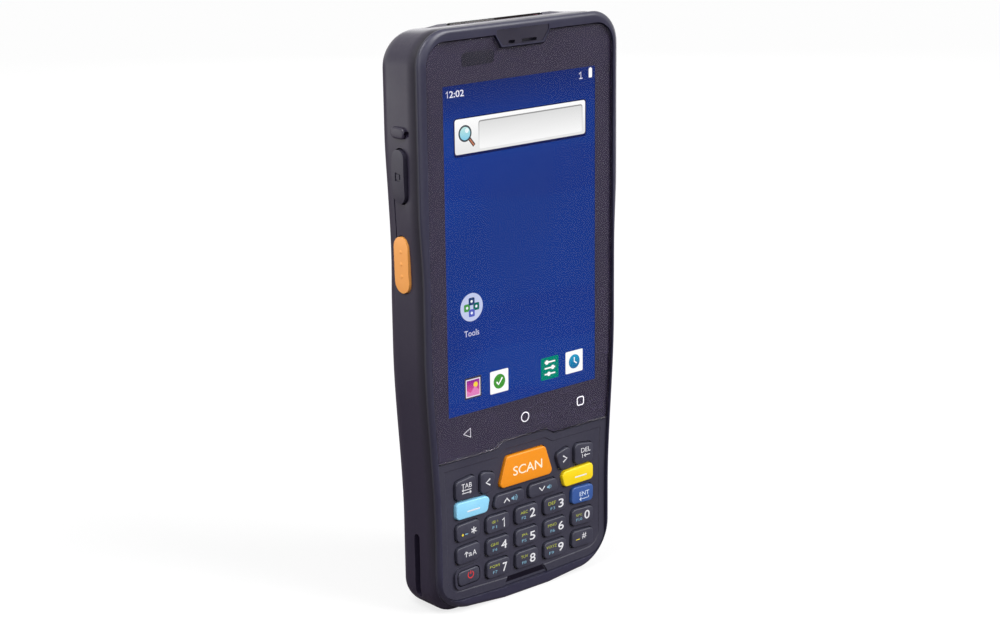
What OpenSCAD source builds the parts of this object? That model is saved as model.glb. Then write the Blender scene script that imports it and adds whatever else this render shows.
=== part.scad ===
// Handheld data terminal: a slab body that stands on its lower end, screen and
// keypad facing -Y, scan window in the top rear edge, controls on the sides.
// The origin is the middle of the base. Depths run from the front face inwards.

/* [Body] */
// Thickness of the whole body, front face to back face
body_t = 18.8; // [18:0.1:21]
// Height of the body above the lit area of the screen
top_border = 14.4; // [13.4:0.1:16]
// Width of the body beside the lit area, on each side
side_border = 6.98; // [6.6:0.02:8]
// How much narrower the body is beside the keypad
chin_taper = 4.4; // [2:0.1:4.8]
// How far the shoulders stand out past the rim on each side
shoulder_flare = 0.95; // [0.6:0.05:1.6]
// Depth of the hollow in the rear edges that the fingers find
grip_hollow = 0.8; // [0:0.1:1.2]
// Radius of the upper corners
top_corner_r = 9; // [8:0.5:12]
// Radius of the lower corners at the front
bottom_corner_r = 12.2; // [10.5:0.1:13.5]
// Radius of the lower corners behind the front frame
rear_corner_r = 7.2; // [6.5:0.1:9]
// Rounding of the front rim
rim_r = 1.2; // [0.8:0.1:1.3]
// Rounding of the rear edges
back_edge_r = 6; // [4.5:0.25:6.5]
// Fall of the top face towards the back, in degrees
top_slope = 5.3; // [4:0.1:8]
// Thickness of the housing walls
wall = 1.4; // [1.2:0.05:1.6]
// Width of the flat that the body stands on
base_flat = 16; // [12:1:24]
// Rise of the base from its flat to the lower corners, at the front
base_crown = 1.1; // [0.6:0.1:1.4]

/* [Screen] */
// Width of the lit area
screen_w = 51.84; // [48:0.12:52.8]
// Height of the lit area
screen_h = 86.4; // [80:0.2:88]
// How far the glass reaches below the lit area
glass_foot = 12; // [11.6:0.1:14]
// Thickness of the cover glass
glass_t = 0.9; // [0.7:0.05:1]
// How far the glass lies below the rim
glass_recess = 0.2; // [0.1:0.05:0.4]
// Width of the rim beside the glass
glass_rim = 1.25; // [1.1:0.05:1.6]
// Height of the rim above the glass
glass_rim_top = 3.1; // [2.8:0.1:3.6]
// Radius of the upper corners of the glass
glass_corner_r = 6; // [4:0.5:8]
// Border of the display module beside its lit area
lcd_border = 2.68; // [1.6:0.02:2.8]
// Thickness of the display panel
lcd_t = 1.5; // [1.2:0.1:1.6]
// Thickness of the backlight behind the panel
backlight_t = 2.1; // [1.6:0.1:2.2]

/* [Earpiece] */
// Width of the notch in the glass at its top
notch_w = 18.8; // [17:0.2:20]
// Width of the notch at its bottom
notch_base_w = 14.6; // [14:0.2:16]
// Depth of the notch below the top of the glass
notch_h = 3.3; // [3:0.1:3.6]
// Width of the rim left round the trim plate
trim_rim = 0.6; // [0.4:0.05:0.8]
// Width of the two sound slots together
sound_w = 9.5; // [8:0.1:10]
// Height of the sound slots
sound_h = 0.8; // [0.6:0.05:1]

/* [Keypad] */
// Distance between the key columns
col_pitch = 10.3; // [10:0.05:10.4]
// Distance between the key rows
row_pitch = 6.45; // [6.3:0.05:6.6]
// Width of a digit key
key_w = 8; // [7.4:0.1:8.2]
// Height of a digit key
key_h = 4.8; // [4.2:0.1:5]
// Corner radius of the keys
key_r = 1.3; // [0.8:0.1:1.4]
// Turn of the outermost keys, in degrees
fan_turn = 2.5; // [0:0.5:3]
// Rise of the outermost keys above their row
fan_rise = 0.45; // [0:0.05:0.6]
// Height of the scan key
scan_h = 8.5; // [7.5:0.1:9.5]
// How far the keys stand above the fascia
key_proud = 0.7; // [0.5:0.05:0.85]
// How far a key goes down
key_travel = 0.45; // [0.3:0.05:0.5]
// Play round each key in its hole
key_play = 0.15; // [0.1:0.01:0.2]
// Width of the ears that hold each key behind the fascia
key_lip = 0.45; // [0.35:0.05:0.55]
// Thickness of the ears
key_lip_t = 0.5; // [0.4:0.05:0.6]
// How far the fascia lies below the rim
fascia_recess = 0.85; // [0.7:0.05:0.95]
// Thickness of the fascia
fascia_t = 0.9; // [0.7:0.05:0.95]
// Width of the rim beside the fascia
fascia_rim = 1.15; // [1:0.05:1.3]
// Height of the fascia's lower edge above the base
fascia_z = 3.3; // [3:0.1:3.6]
// Height of the lowest keys above the fascia's lower edge
keypad_margin = 3.75; // [3:0.05:5]
// Thickness of the rubber mat under the keys
mat_t = 0.6; // [0.4:0.05:0.7]
// Radius of a switch dome
dome_r = 1.9; // [1.5:0.1:2]
// Height of a switch dome
dome_h = 0.3; // [0.2:0.05:0.35]
// Thickness of the keypad's circuit board
key_board_t = 0.8; // [0.6:0.1:0.9]

/* [Side controls] */
// Width of a trigger, measured across the body's edge
trigger_w = 5.7; // [5.2:0.1:6.6]
// Length of a trigger along the body's edge
trigger_l = 14.8; // [13:0.2:17]
// How far the triggers lie below the middle of the screen
trigger_drop = 2.5; // [1:0.1:4]
// Depth of the middle of the triggers
trigger_depth = 9.5; // [9.2:0.05:9.7]
// How far a trigger stands proud of the side
trigger_proud = 0.9; // [0.6:0.05:1.2]
// How far a trigger goes in
trigger_travel = 0.6; // [0.4:0.05:0.7]
// Width of the side key
side_key_w = 4.8; // [4.2:0.1:5.4]
// Length of the side key
side_key_l = 13.8; // [12:0.2:15]
// How far the side key lies above the middle of the screen
side_key_rise = 20.7; // [19.8:0.1:22]
// How far the side key stands proud of the side
side_key_proud = 1.2; // [0.8:0.05:1.3]
// How far the side key goes in
side_key_travel = 0.5; // [0.3:0.05:0.6]
// Play round the side controls
side_play = 0.25; // [0.15:0.01:0.3]
// Length of the strap slot on each side
strap_slot_l = 18; // [14:0.5:18.5]
// Width of the strap slot
strap_slot_w = 2.2; // [1.6:0.1:2.6]
// Length of the strap lug across the body's edge
lug_l = 5.6; // [5:0.1:6.5]
// Height of the strap lug
lug_h = 3; // [2.6:0.1:3.4]
// How far the strap lug stands out
lug_proud = 0.9; // [0.6:0.05:1.2]

/* [Scanner] */
// Width of the scan window
window_w = 32; // [28:0.5:34]
// Length of the scan window down the rear edge
window_l = 7; // [6:0.1:7.4]
// Thickness of the scan window
window_t = 1.2; // [1:0.05:1.4]
// Width of the scan engine
engine_w = 21; // [18:0.5:24]
// Height of the scan engine
engine_h = 12; // [10:0.2:13]

/* [Battery] */
// Height of the battery door
door_h = 79; // [76:0.5:79.5]
// Height of the door's lower edge above the base
door_z = 26.7; // [26.5:0.1:28]
// Corner radius of the door
door_r = 4; // [2:0.5:6]
// Gap round the door
door_gap = 0.15; // [0.1:0.01:0.2]
// Play beside the battery pack in its bay, on each side
pack_play = 0.4; // [0.2:0.05:1.5]

/* [Boards and parts] */
// Thickness of the inner chassis plate
chassis_t = 0.8; // [0.6:0.05:1]
// Thickness of the main circuit board
board_t = 1; // [0.8:0.1:1.1]
// Width of the main circuit board
board_w = 39; // [36:0.5:39.5]
// Height of the shields on the main circuit board
shield_h = 1.7; // [1.2:0.1:1.8]
// Width of the loudspeaker
speaker_w = 15; // [12:0.5:16]
// Height of the loudspeaker
speaker_h = 11; // [9:0.5:12]
// Thickness of the loudspeaker
speaker_t = 3.4; // [2.5:0.1:4]
// Width of the data socket
socket_w = 8.9; // [8:0.1:9.2]
// Thickness of the data socket
socket_t = 3.2; // [2.6:0.1:3.4]

/* [Fasteners] */
// Radius of a housing screw
screw_r = 0.95; // [0.8:0.05:1]
// Radius of a housing screw's head
screw_head_r = 1.9; // [1.7:0.05:2]
// Height of a housing screw's head
screw_head_h = 1.2; // [1:0.05:1.3]
// Play round a screw in its hole
screw_play = 0.05; // [0.03:0.01:0.08]
// Radius of the posts that take the screws
post_r = 2.4; // [2.2:0.05:2.6]

/* [Hidden] */
fit = 0.15;            // gap between pieces that are only laid in place
touch = 0.05;          // gap between pieces that rest on each other
loose = 0.1;           // gap round pieces that drop into a pocket
cut = 1;               // how far a cutting shape runs past what it cuts
arc_n = 6;             // steps in a rounded corner
side_n = 14;           // steps up the side of the body

front_y = -body_t / 2;

// Keypad, from its lowest row up: row b lies above the digits, row a above row b
digit_z = fascia_z + keypad_margin + key_h / 2 + 2 * row_pitch;
row_b_z = digit_z + row_pitch - 0.1;
row_b_h = key_h - 0.2;
row_gap = 0.85;
row_a_z = row_b_z + row_b_h / 2 + row_gap;
row_a_h = 5.3;
scan_z = row_a_z - 0.2;
scan_gap = 2.85;       // from the scan key up to the glass

// The body's height and widths come from the keypad and the screen
glass_z = scan_z + scan_h + scan_gap;
chin_h = glass_z + glass_foot;
screen_z = chin_h + screen_h / 2;
body_h = chin_h + screen_h + top_border;
rim_w = screen_w + 2 * side_border;
chin_w = rim_w - chin_taper;
trigger_z = screen_z - trigger_drop;
side_key_z = screen_z + side_key_rise;

// The body narrows between these heights, counted from the middle of the screen
taper_top = screen_z - 26;
taper_bottom = screen_z - 74;
// The shoulders stand out above the triggers
flare_low = trigger_z - 5.7;
flare_high = trigger_z + 16.3;
flare_depth = 1.2;
// Depth by which the lower corners are as tight as at the back, and the base as flat
corner_depth = 4.3;
rear_crown = 0.1;
// The finger hollow is deepest just above the triggers
hollow_z = trigger_z + 11.3;
hollow_reach = 22;
hollow_start = 5;
hollow_depth = 9;

// Depth at which each layer starts, from the front
seam_d = 2.4;
seam_gap = 0.1;
skirt_d = 4.4;
mask_t = 0.1;
tape_t = 0.2;
mask_d = glass_recess + glass_t;
tape_d = mask_d + mask_t;
ledge_d = tape_d + tape_t;
lcd_d = tape_d + touch;
backlight_d = lcd_d + lcd_t + touch;
chassis_d = 5.1;
chassis_back_d = chassis_d + chassis_t;
board_d = chassis_back_d + 0.7;
bay_d = 10.2;
bay_floor_t = 0.8;
door_t = wall;
door_d = body_t - door_t;
pack_d = bay_d + bay_floor_t + fit;
fascia_back_d = fascia_recess + fascia_t;
key_d = fascia_recess - key_proud;
key_lip_d = fascia_back_d + touch;
mat_d = key_lip_d + key_lip_t + key_travel + touch;
dome_d = mat_d + mat_t + touch;
key_board_d = dome_d + dome_h;

// The glass and the trim in its notch
glass_top = body_h - glass_rim_top;
notch_z = glass_top - notch_h;
trim_t = 1.1;
web_t = 0.5;
mask_in = 0.2;         // how far the mask and the tape stay inside the glass
tape_in = 0.3;
// The glass steps up over the scan key, and the fascia follows it
step_h = 1.6;
step_w = 15.8;
step_run = 2.7;
// The display module, with the ledge below its lit area
lcd_foot = 6.4;
lcd_head = 3;
lcd_w = screen_w + 2 * lcd_border;
lcd_bottom = chin_h - lcd_foot;
lcd_top = chin_h + screen_h + lcd_head;
// The frame's ledge round the fascia, and its bar between keypad and display
ledge_w = 1.1;
bar_z = glass_z - 1.6;
// Seal between the shells
seal_in = 0.6;
seal_w = 0.4;
seal_t = 0.4;

// Earpiece and light sensor
earpiece_w = 11;
earpiece_h = 3.2;
earpiece_z = notch_z + 0.2;
sensor_w = 10.6;
sensor_h = 3.6;
sensor_x = -14.4;
sensor_z = notch_z - 1.9;

// Keypad, across
edge_x = 2 * col_pitch + key_w / 2;
tab_w = 6.8;
shift_in = edge_x - 10.7;
scan_half = 9.75;
scan_half_top = 6.9;
lean = (scan_half - scan_half_top) / scan_h;
crown_h = 0.2;         // step that rounds a key's face
panel_in = 2.3;        // the keys stand in a panel sunk into the fascia
panel_sink = 0.2;
power_shrink = 0.35;   // the power key is smaller, inside a raised guard
guard_w = 0.6;
guard_h = 0.45;

// Chassis, boards and the posts that the screws go through
chassis_half = chin_w / 2 - wall - 1;
chassis_in = 0.5;      // how far the chassis stays off the housing
tab_t = 0.6;           // tabs of the chassis that carry the side switches
tab_x = chassis_half - 3 * tab_t;
frame_posts = [for (x = [-1, 1])
    each [[x * (chin_w / 2 - 5), bar_z + post_r + 0.2], [x * (rim_w / 2 - 8.5), lcd_top + post_r + 0.8]]];
case_posts = [for (x = [-1, 1])
    each [
        [x * (chin_w / 2 - bottom_corner_r - 0.4), bottom_corner_r],
        [x * (tab_x - post_r - fit), door_z + door_h + post_r + 3.2],
        [x * (rim_w / 2 - 9.9), lcd_top - 1.9]
    ]];
post_end_d = bay_d + 1.4;
post_wall = 0.4;       // the housing's posts are this much thicker
screw_seat_d = body_t - screw_head_h - 0.25;
board_bottom = 20;
board_top = body_h - 9.8;
board_feet = [board_bottom + 4, (board_bottom + board_top) / 2 - 13, board_top - 14];
foot_r = 1.6;
tongue_w = 18;
socket_h = 7.4;
socket_z = 0.6;
socket_depth = board_d + board_t + socket_t / 2;
dock_xs = [-9.9, -7.5, 7.5, 9.9];
dock_r = 0.8;

// Side switches: a tab of the chassis, then a strip, then the switch
strip_t = 0.6;
switch_x = tab_x + tab_t + strip_t;
switch_t = 1.4;
switch_w = 2.6;
switch_h = 3.2;
tab_top_d = bay_d - 0.3;
// Each control's side, height and length of tab
side_parts = [[-1, side_key_z, 9], [-1, trigger_z, 10], [1, trigger_z, 10]];
side_key_depth = 8.4;
switch_depth = 8.4;
trigger_seat = rim_w / 2 - wall - grip_hollow / 2 - fit;
side_key_seat = rim_w / 2 + shoulder_flare - wall - grip_hollow * 0.65 - fit;
groove_d = 11.9;
groove_w = 0.45;
groove_x = rim_w / 2 - 0.35;
lug_z = side_key_z + side_key_l / 2 + 4.2;
lug_depth = 8.6;
lug_bore_r = 0.7;
strap_depth = 9.5;
strap_z = 3.9 + strap_slot_l / 2;
strap_floor = chin_w / 2 - 2.5;

// Battery bay, door and hooks
door_w = chin_w - 2 * back_edge_r - 0.4;
door_lap = 1.2;        // how far the door reaches past the bay
bay_w = door_w - 2 * door_lap;
bay_z = door_z + door_lap;
bay_h = door_h - 2 * door_lap;
bay_wall = 3.2;
contact_l = 3.45;      // room for the contacts under the pack
pack_w = bay_w - 2 * pack_play;
pack_z = bay_z + contact_l;
pack_h = bay_h - contact_l - fit;
pack_t = door_d - pack_d - 0.65;
hook_w = 7;
hook_xs = [-16, 16];
hook_reach = 0.8;      // how far a hook reaches below the door
hook_t = 0.9;
hook_l = 2;
hook_room = 0.5;       // room below and under a hook for its swing
dip_r = 10;            // finger dip at the door's upper edge
dip_h = 0.8;
dip_w = 16;

// Scan window and engine, loudspeaker and motor
window_turn = -28.7;
window_depth = body_t - 4.8;
window_z = top_at(window_depth) - 0.8;
cheek_w = 10;           // the housing rises to the window over this width on each side
window_ledge = 1.4;
engine_d = board_d + board_t + touch;
engine_t = door_d - engine_d - 1.35;
engine_z = window_z - 4.6 - engine_h;
speaker_x = -11;
speaker_z = door_z + door_h + 2 * post_r + 3.8;
motor_r = 2;
motor_l = 9;
motor_x = 9;

// The names of the keys, row by row
key_names = [
    "key_tab", "key_left", "key_scan", "key_right", "key_delete",
    "key_shift_blue", "key_up", "key_down", "key_shift_yellow",
    "key_star", "key_1", "key_2", "key_3", "key_enter",
    "key_caps", "key_4", "key_5", "key_6", "key_0",
    "key_power", "key_7", "key_8", "key_9", "key_hash"
];

// ---- Colours ----
shell_grey = [0.26, 0.26, 0.30];
trim_black = [0.09, 0.09, 0.11];
key_grey = [0.24, 0.24, 0.28];
scan_orange = [1.0, 0.60, 0.12];
shift_blue = [0.55, 0.85, 0.97];
shift_yellow = [0.98, 0.88, 0.08];
enter_blue = [0.20, 0.33, 0.66];
board_green = [0.08, 0.32, 0.20];
metal = [0.72, 0.72, 0.70];
gold = [0.85, 0.68, 0.30];

// ---- Outlines ----
// Ease from 0 to 1
function ease(t) = let (u = min(1, max(0, t))) u * u * (3 - 2 * u);
function unit(v) = v / norm(v);
// Place of a depth in the body's frame
function at_depth(d) = front_y + d;
// An outline drawn for x >= 0 from the bottom up, closed by its mirror image
function both_sides(half) =
    concat(half, [for (i = [len(half) - 1:-1:0]) [-half[i][0], half[i][1]]]);
// The same outline on the other side, still going round the same way
function other_side(pts) = [for (i = [len(pts) - 1:-1:0]) [-pts[i][0], pts[i][1]]];
// Points of an arc
function arc(c, r, from, to, n = arc_n) =
    [for (k = [0:n]) let (a = from + (to - from) * k / n) c + r * [cos(a), sin(a)]];
// Points that round the corner b between a and c to radius r
function corner(a, b, c, r, n) =
    let (
        u = unit(a - b), v = unit(c - b),
        half = acos(max(-1, min(1, u * v))) / 2,
        centre = b + unit(u + v) * r / sin(half),
        p = b + u * r / tan(half), q = b + v * r / tan(half),
        from = atan2(p[1] - centre[1], p[0] - centre[0]),
        to = atan2(q[1] - centre[1], q[0] - centre[0]),
        turn = (to - from + 540) % 360 - 180
    ) arc(centre, r, from, from + turn, n);
// A closed outline with every corner rounded
function rounded(pts, r, n = 4) = let (m = len(pts))
    [for (i = [0:m - 1]) each corner(pts[(i + m - 1) % m], pts[i], pts[(i + 1) % m], r, n)];
// A closed outline grown outwards by g
function grown(pts, g) = let (m = len(pts))
    [for (i = [0:m - 1])
        let (
            a = unit(pts[i] - pts[(i + m - 1) % m]), b = unit(pts[(i + 1) % m] - pts[i]),
            na = [a[1], -a[0]], nb = [b[1], -b[0]]
        ) pts[i] + (na + nb) * g / (1 + na * nb)];
function moved(pts, v) = [for (p = pts) p + v];
function box_outline(w, z0, z1) = [[w / 2, z0], [w / 2, z1], [-w / 2, z1], [-w / 2, z0]];

// ---- The body's shape ----
// Half the width of the front rim at height z
function rim_half(z) =
    rim_w / 2 - (rim_w - chin_w) / 2 * ease((taper_top - z) / (taper_top - taper_bottom));
// How much of the shoulders' flare is reached at depth d
function flare_at(d) = sin(90 * min(1, d / flare_depth));
// Half the width of the body at height z and depth d
function body_half(z, d) =
    rim_half(z)
    + shoulder_flare * flare_at(d) * ease((z - flare_low) / (flare_high - flare_low))
    - grip_hollow * ease((d - hollow_start) / hollow_depth)
        * ease(1 - abs(z - hollow_z) / hollow_reach);
// How far the front rim's rounding draws the outline in, and the rear edges' one with a wall t
function rim_inset(d) = d < rim_r ? rim_r - sqrt(max(0, rim_r ^ 2 - (rim_r - d) ^ 2)) : 0;
function back_inset(d, t) = let (s = d - (body_t - back_edge_r))
    s > 0 ? back_edge_r - sqrt(max(0, (back_edge_r - t) ^ 2 - s ^ 2)) : t;
function top_at(d) = body_h - tan(top_slope) * max(0, d - rim_r);
// The body's outline at depth d, drawn in by a further inset
function body_ring(d, inset = 0) =
    let (
        e = rim_inset(d) + back_inset(d, inset),
        top = top_at(d) - e,
        k = ease(d / corner_depth),
        low_r = bottom_corner_r + (rear_corner_r - bottom_corner_r) * k,
        rt = max(top_corner_r - e, 0.5), rb = max(low_r - e, 0.5),
        zt = top - rt, zb = e + base_crown + (rear_crown - base_crown) * k + rb,
        xt = body_half(zt, d) - e, xb = body_half(zb, d) - e
    )
    both_sides(concat(
        [[base_flat / 2, e]],
        arc([xb - rb, zb], rb, -90, 0),
        [for (k = [1:side_n - 1]) let (z = zb + (zt - zb) * k / side_n) [body_half(z, d) - e, z]],
        arc([xt - rt, zt], rt, 0, 90)
    ));

// A solid through rings of points, each ring at its own depth
module loft(depths, rings) {
    n = len(rings[0]);
    m = len(rings);
    points = [for (i = [0:m - 1]) for (p = rings[i]) [p[0], at_depth(depths[i]), p[1]]];
    faces = concat(
        [[for (j = [n - 1:-1:0]) j], [for (j = [0:n - 1]) (m - 1) * n + j]],
        [for (i = [0:m - 2]) for (j = [0:n - 1])
            each let (a = i * n + j, b = i * n + (j + 1) % n) [[a, b, b + n], [a, b + n, a + n]]]
    );
    polyhedron(points, faces);
}
// A flat plate of an outline, t thick, from depth d inwards
module plate(outline, d, t) {
    translate([0, at_depth(d + t), 0])
        rotate([90, 0, 0])
            linear_extrude(t)
                polygon(outline);
}
// A round bar along the depth
module pillar(x, z, r, d0, d1) {
    translate([x, at_depth(d1), z])
        rotate([90, 0, 0])
            cylinder(r = r, h = d1 - d0, $fn = 32);
}
// A box from corner to corner, its second place a depth
module block(low, high) {
    translate([low[0], at_depth(low[1]), low[2]])
        cube(high - low);
}
// A slot shape across the side: l long in height, w wide in depth, from x0 outwards to x1
module side_slot(x0, x1, d, z, w, l) {
    r = min(w, l) / 2;
    up = [0, l / 2 - r];
    along = [w / 2 - r, 0];
    translate([x0, at_depth(d), z])
        rotate([90, 0, 90])
            linear_extrude(x1 - x0)
                polygon(l > w
                    ? concat(arc(up, r, 0, 180, 12), arc(-up, r, 180, 360, 12))
                    : concat(arc(along, r, -90, 90, 12), arc(-along, r, 90, 270, 12)));
}

// ---- Outlines of the pieces ----
// The lower edge of the glass, from the middle outwards
function joint_line(half_w, z) =
    [[step_w / 2, z + step_h], [step_w / 2 + step_run, z], [half_w, z]];
function glass_half(z) = rim_half(z) - glass_rim;
function glass_outline(g = 0) =
    let (
        r = glass_corner_r + g, top = glass_top + g, zt = top - r, zb = glass_z - g,
        line = joint_line(glass_half(zb) + g, zb)
    )
    both_sides(concat(
        line,
        [for (k = [1:5]) let (z = zb + (zt - zb) * k / 6) [glass_half(z) + g, z]],
        arc([glass_half(zt) + g - r, zt], r, 0, 90),
        [[notch_w / 2 - g, top], [notch_base_w / 2 - g, notch_z + g]]
    ));
function trim_outline(g = 0) =
    let (slope = (notch_w - notch_base_w) / 2 / notch_h, rise = body_h - rim_r - notch_z)
    both_sides([
        [notch_base_w / 2 - trim_rim + g, notch_z + trim_rim - g],
        [notch_base_w / 2 - trim_rim + slope * notch_h + g, notch_z + notch_h],
        [notch_base_w / 2 - trim_rim + slope * notch_h + g, notch_z + rise - trim_rim + g]
    ]);
function fascia_half(z) = rim_half(z) - fascia_rim;
function fascia_outline(g = 0) =
    let (
        r = bottom_corner_r - 5.7 + g, zb = fascia_z - g, zt = glass_z - fit + g,
        xb = fascia_half(zb + r) + g, zs = zb + r + base_crown / 2
    )
    both_sides(concat(
        [[base_flat / 2, zb]],
        arc([xb - r, zs], r, -90, 0),
        [for (k = [1:4]) let (z = zs + (zt - zs) * k / 5) [fascia_half(z) + g, z]],
        [[fascia_half(zt) + g, zt], [step_w / 2 + step_run, zt], [step_w / 2, zt + step_h]]
    ));
lcd_outline = box_outline(lcd_w, lcd_bottom, lcd_top);
screen_outline = box_outline(screen_w, screen_z - screen_h / 2, screen_z + screen_h / 2);
// Opening in the frame behind the fascia
function keypad_bay(g = 0) =
    [for (p = fascia_outline(g - ledge_w)) [p[0], min(p[1], bar_z + g)]];

// ---- Keys ----

// A digit key: its column counts from the middle, its row down from the digits' first
function digit_key(col, row) =
    let (
        outer = abs(col) == 2 ? 1 : 0, turn = -sign(col) * outer * fan_turn,
        c = [col * col_pitch, digit_z - row * row_pitch + outer * fan_rise],
        w = key_w / 2, h = key_h / 2
    )
    [for (p = [[w, -h], [w, h], [-w, h], [-w, -h]])
        c + [p[0] * cos(turn) - p[1] * sin(turn), p[0] * sin(turn) + p[1] * cos(turn)]];
// The keys above the digits, on the left half of the keypad
tab_key = [
    [-edge_x, row_a_z], [tab_w - edge_x, row_a_z],
    [tab_w - edge_x, row_a_z + row_a_h + 0.9], [-edge_x, row_a_z + row_a_h]
];
left_key = [
    [tab_w + 1.7 - edge_x, row_a_z], [-scan_half - 2.6, row_a_z],
    [lean * row_a_h - scan_half - 2.7, row_a_z + row_a_h - 0.4], [tab_w + 1.7 - edge_x, row_a_z + row_a_h + 1]
];
shift_key = [
    [-edge_x, row_b_z - row_b_h / 2 + 0.1], [-shift_in, row_b_z - row_b_h / 2],
    [1 - shift_in, row_b_z + row_b_h / 2 - 0.6], [-shift_in - 0.4, row_b_z + row_b_h / 2 - 0.1],
    [-edge_x, row_b_z + row_b_h / 2 + 0.3]
];
up_key = [
    [2 - shift_in, row_b_z - row_b_h / 2 - 0.1], [-0.9, row_b_z - row_b_h / 2 - 0.1],
    [-0.9, row_b_z + row_b_h / 2 - 0.9], [3.2 - shift_in, row_b_z + row_b_h / 2 - 0.9]
];
scan_key = [
    [scan_half, scan_z], [scan_half_top, scan_z + scan_h],
    [-scan_half_top, scan_z + scan_h], [-scan_half, scan_z]
];
// Every key's corners, in the order of the names
key_shapes = [
    tab_key, left_key, scan_key, other_side(left_key), other_side(tab_key),
    shift_key, up_key, other_side(up_key), other_side(shift_key),
    for (col = [-2:2]) digit_key(col, 0),
    for (col = [-2:2]) digit_key(col, 1),
    grown(digit_key(-2, 2), -power_shrink),
    for (col = [-1:2]) digit_key(col, 2)
];
function key_colour(name) =
    name == "key_scan" ? scan_orange : name == "key_shift_blue" ? shift_blue
    : name == "key_shift_yellow" ? shift_yellow : name == "key_enter" ? enter_blue : key_grey;
// The middle of a key, where its switch dome lies
function middle(pts) = let (x = [for (p = pts) p[0]], z = [for (p = pts) p[1]])
    [(min(x) + max(x)) / 2, (min(z) + max(z)) / 2];

// A key's outline with an ear on its left and right to hold it behind the fascia
function eared(pts) = let (mid = middle(pts))
    [for (p = pts) p + [sign(p[0] - mid[0]) * key_lip, 0]];

module key(i) {
    shape = key_shapes[i];
    color(key_colour(key_names[i])) {
        plate(rounded(grown(shape, -crown_h), key_r - crown_h), key_d, key_proud);
        plate(rounded(shape, key_r), key_d + crown_h, key_lip_d - key_d - crown_h + key_lip_t / 2);
        plate(rounded(eared(shape), key_r), key_lip_d, key_lip_t);
    }
}

// ---- Front ----
module front_frame() {
    rounding = [for (k = [0:4]) rim_r * (1 - cos(22.5 * k))];
    depths = concat(rounding, [seam_d]);
    color(shell_grey) difference() {
        union() {
            loft(depths, [for (d = depths) body_ring(d)]);
            skirt();
            for (p = frame_posts) pillar(p[0], p[1], post_r, seam_d, chassis_d);
        }
        plate(glass_outline(fit), -cut, ledge_d + cut);
        plate(fascia_outline(fit), -cut, fascia_back_d + cut);
        plate(keypad_bay(), 0, skirt_d + cut);
        plate(grown(lcd_outline, loose), 0, skirt_d + cut);
        plate(trim_outline(touch), -cut, trim_t + cut);
        sound_slots(0, skirt_d);
        block([-earpiece_w / 2 - touch, trim_t + web_t, earpiece_z - touch],
            [earpiece_w / 2 + touch, skirt_d + cut, earpiece_z + earpiece_h + touch]);
        block([sensor_x - sensor_w / 2 - touch, ledge_d - cut, sensor_z - sensor_h / 2 - touch],
            [sensor_x + sensor_w / 2 + touch, skirt_d + cut, sensor_z + sensor_h / 2 + touch]);
        seal_ring(seam_d - seal_t, seal_t + cut, touch);
        for (p = frame_posts) pillar(p[0], p[1], screw_r + screw_play, ledge_d + cut, chassis_d + cut);
    }
}
// The part of the frame that goes inside the rear housing
module skirt() {
    depths = [seam_d - cut, seam_d, skirt_d];
    loft(depths, [for (d = depths) body_ring(max(d, seam_d), wall + fit)]);
}
module sound_slots(d, t) {
    z = notch_z + trim_rim + 0.2;
    short = sound_w * 0.22;
    long = sound_w * 0.54;
    block([-sound_w / 2, d - cut, z], [-sound_w / 2 + short, d + t, z + sound_h]);
    block([sound_w / 2 - long, d - cut, z], [sound_w / 2, d + t, z + sound_h]);
}
module earpiece_trim() {
    color(trim_black) difference() {
        plate(trim_outline(), fit, trim_t - fit);
        sound_slots(0, trim_t + cut);
    }
}
module touch_glass() {
    color([0.1, 0.1, 0.12, 0.35]) plate(glass_outline(), glass_recess, glass_t);
}
module window_mask() {
    color(trim_black) difference() {
        plate(glass_outline(-mask_in), mask_d, mask_t);
        plate(screen_outline, mask_d - cut, mask_t + 2 * cut);
        plate(moved(rounded(box_outline(sensor_w, -sensor_h / 2, sensor_h / 2), 1), [sensor_x, sensor_z]),
            mask_d - cut, mask_t + 2 * cut);
    }
}
module glass_tape() {
    color("dimgray") difference() {
        plate(glass_outline(-tape_in), tape_d, tape_t);
        plate(grown(lcd_outline, touch), tape_d - cut, tape_t + 2 * cut);
        block([sensor_x - sensor_w / 2 - touch, tape_d - cut, sensor_z - sensor_h / 2 - touch],
            [sensor_x + sensor_w / 2 + touch, tape_d + tape_t + cut, glass_top + cut]);
    }
}
module seal_ring(d, t, g = 0) {
    difference() {
        plate(body_ring(seam_d, seal_in - g), d, t);
        plate(body_ring(seam_d, seal_in + seal_w + g), d - cut, t + 2 * cut);
    }
}
module housing_seal() {
    color("black") seal_ring(seam_d - seal_t, seal_t + seam_gap);
}
module lcd_panel() {
    color([0.14, 0.22, 0.55]) plate(lcd_outline, lcd_d, lcd_t);
}
module backlight() {
    color("silver") plate(grown(lcd_outline, -fit), backlight_d, backlight_t);
}
module keypad_fascia() {
    color(shell_grey) difference() {
        union() {
            plate(fascia_outline(), fascia_recess, fascia_t);
            guard(fascia_recess - guard_h, guard_h + panel_sink);
        }
        difference() {
            plate(grown(fascia_outline(), -panel_in), fascia_recess - cut, cut + panel_sink);
            guard(fascia_recess - cut, 2 * cut);
        }
        for (shape = key_shapes)
            plate(rounded(grown(shape, key_play), key_r + key_play), -cut, fascia_back_d + 2 * cut);
        // Recess for a plain plate below the keys
        plate(both_sides([[7.8, fascia_z - cut], [7.8, fascia_z + 0.4], [6.4, fascia_z + 2.6]]),
            fascia_recess - cut, cut + 2 * panel_sink);
    }
}
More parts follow.
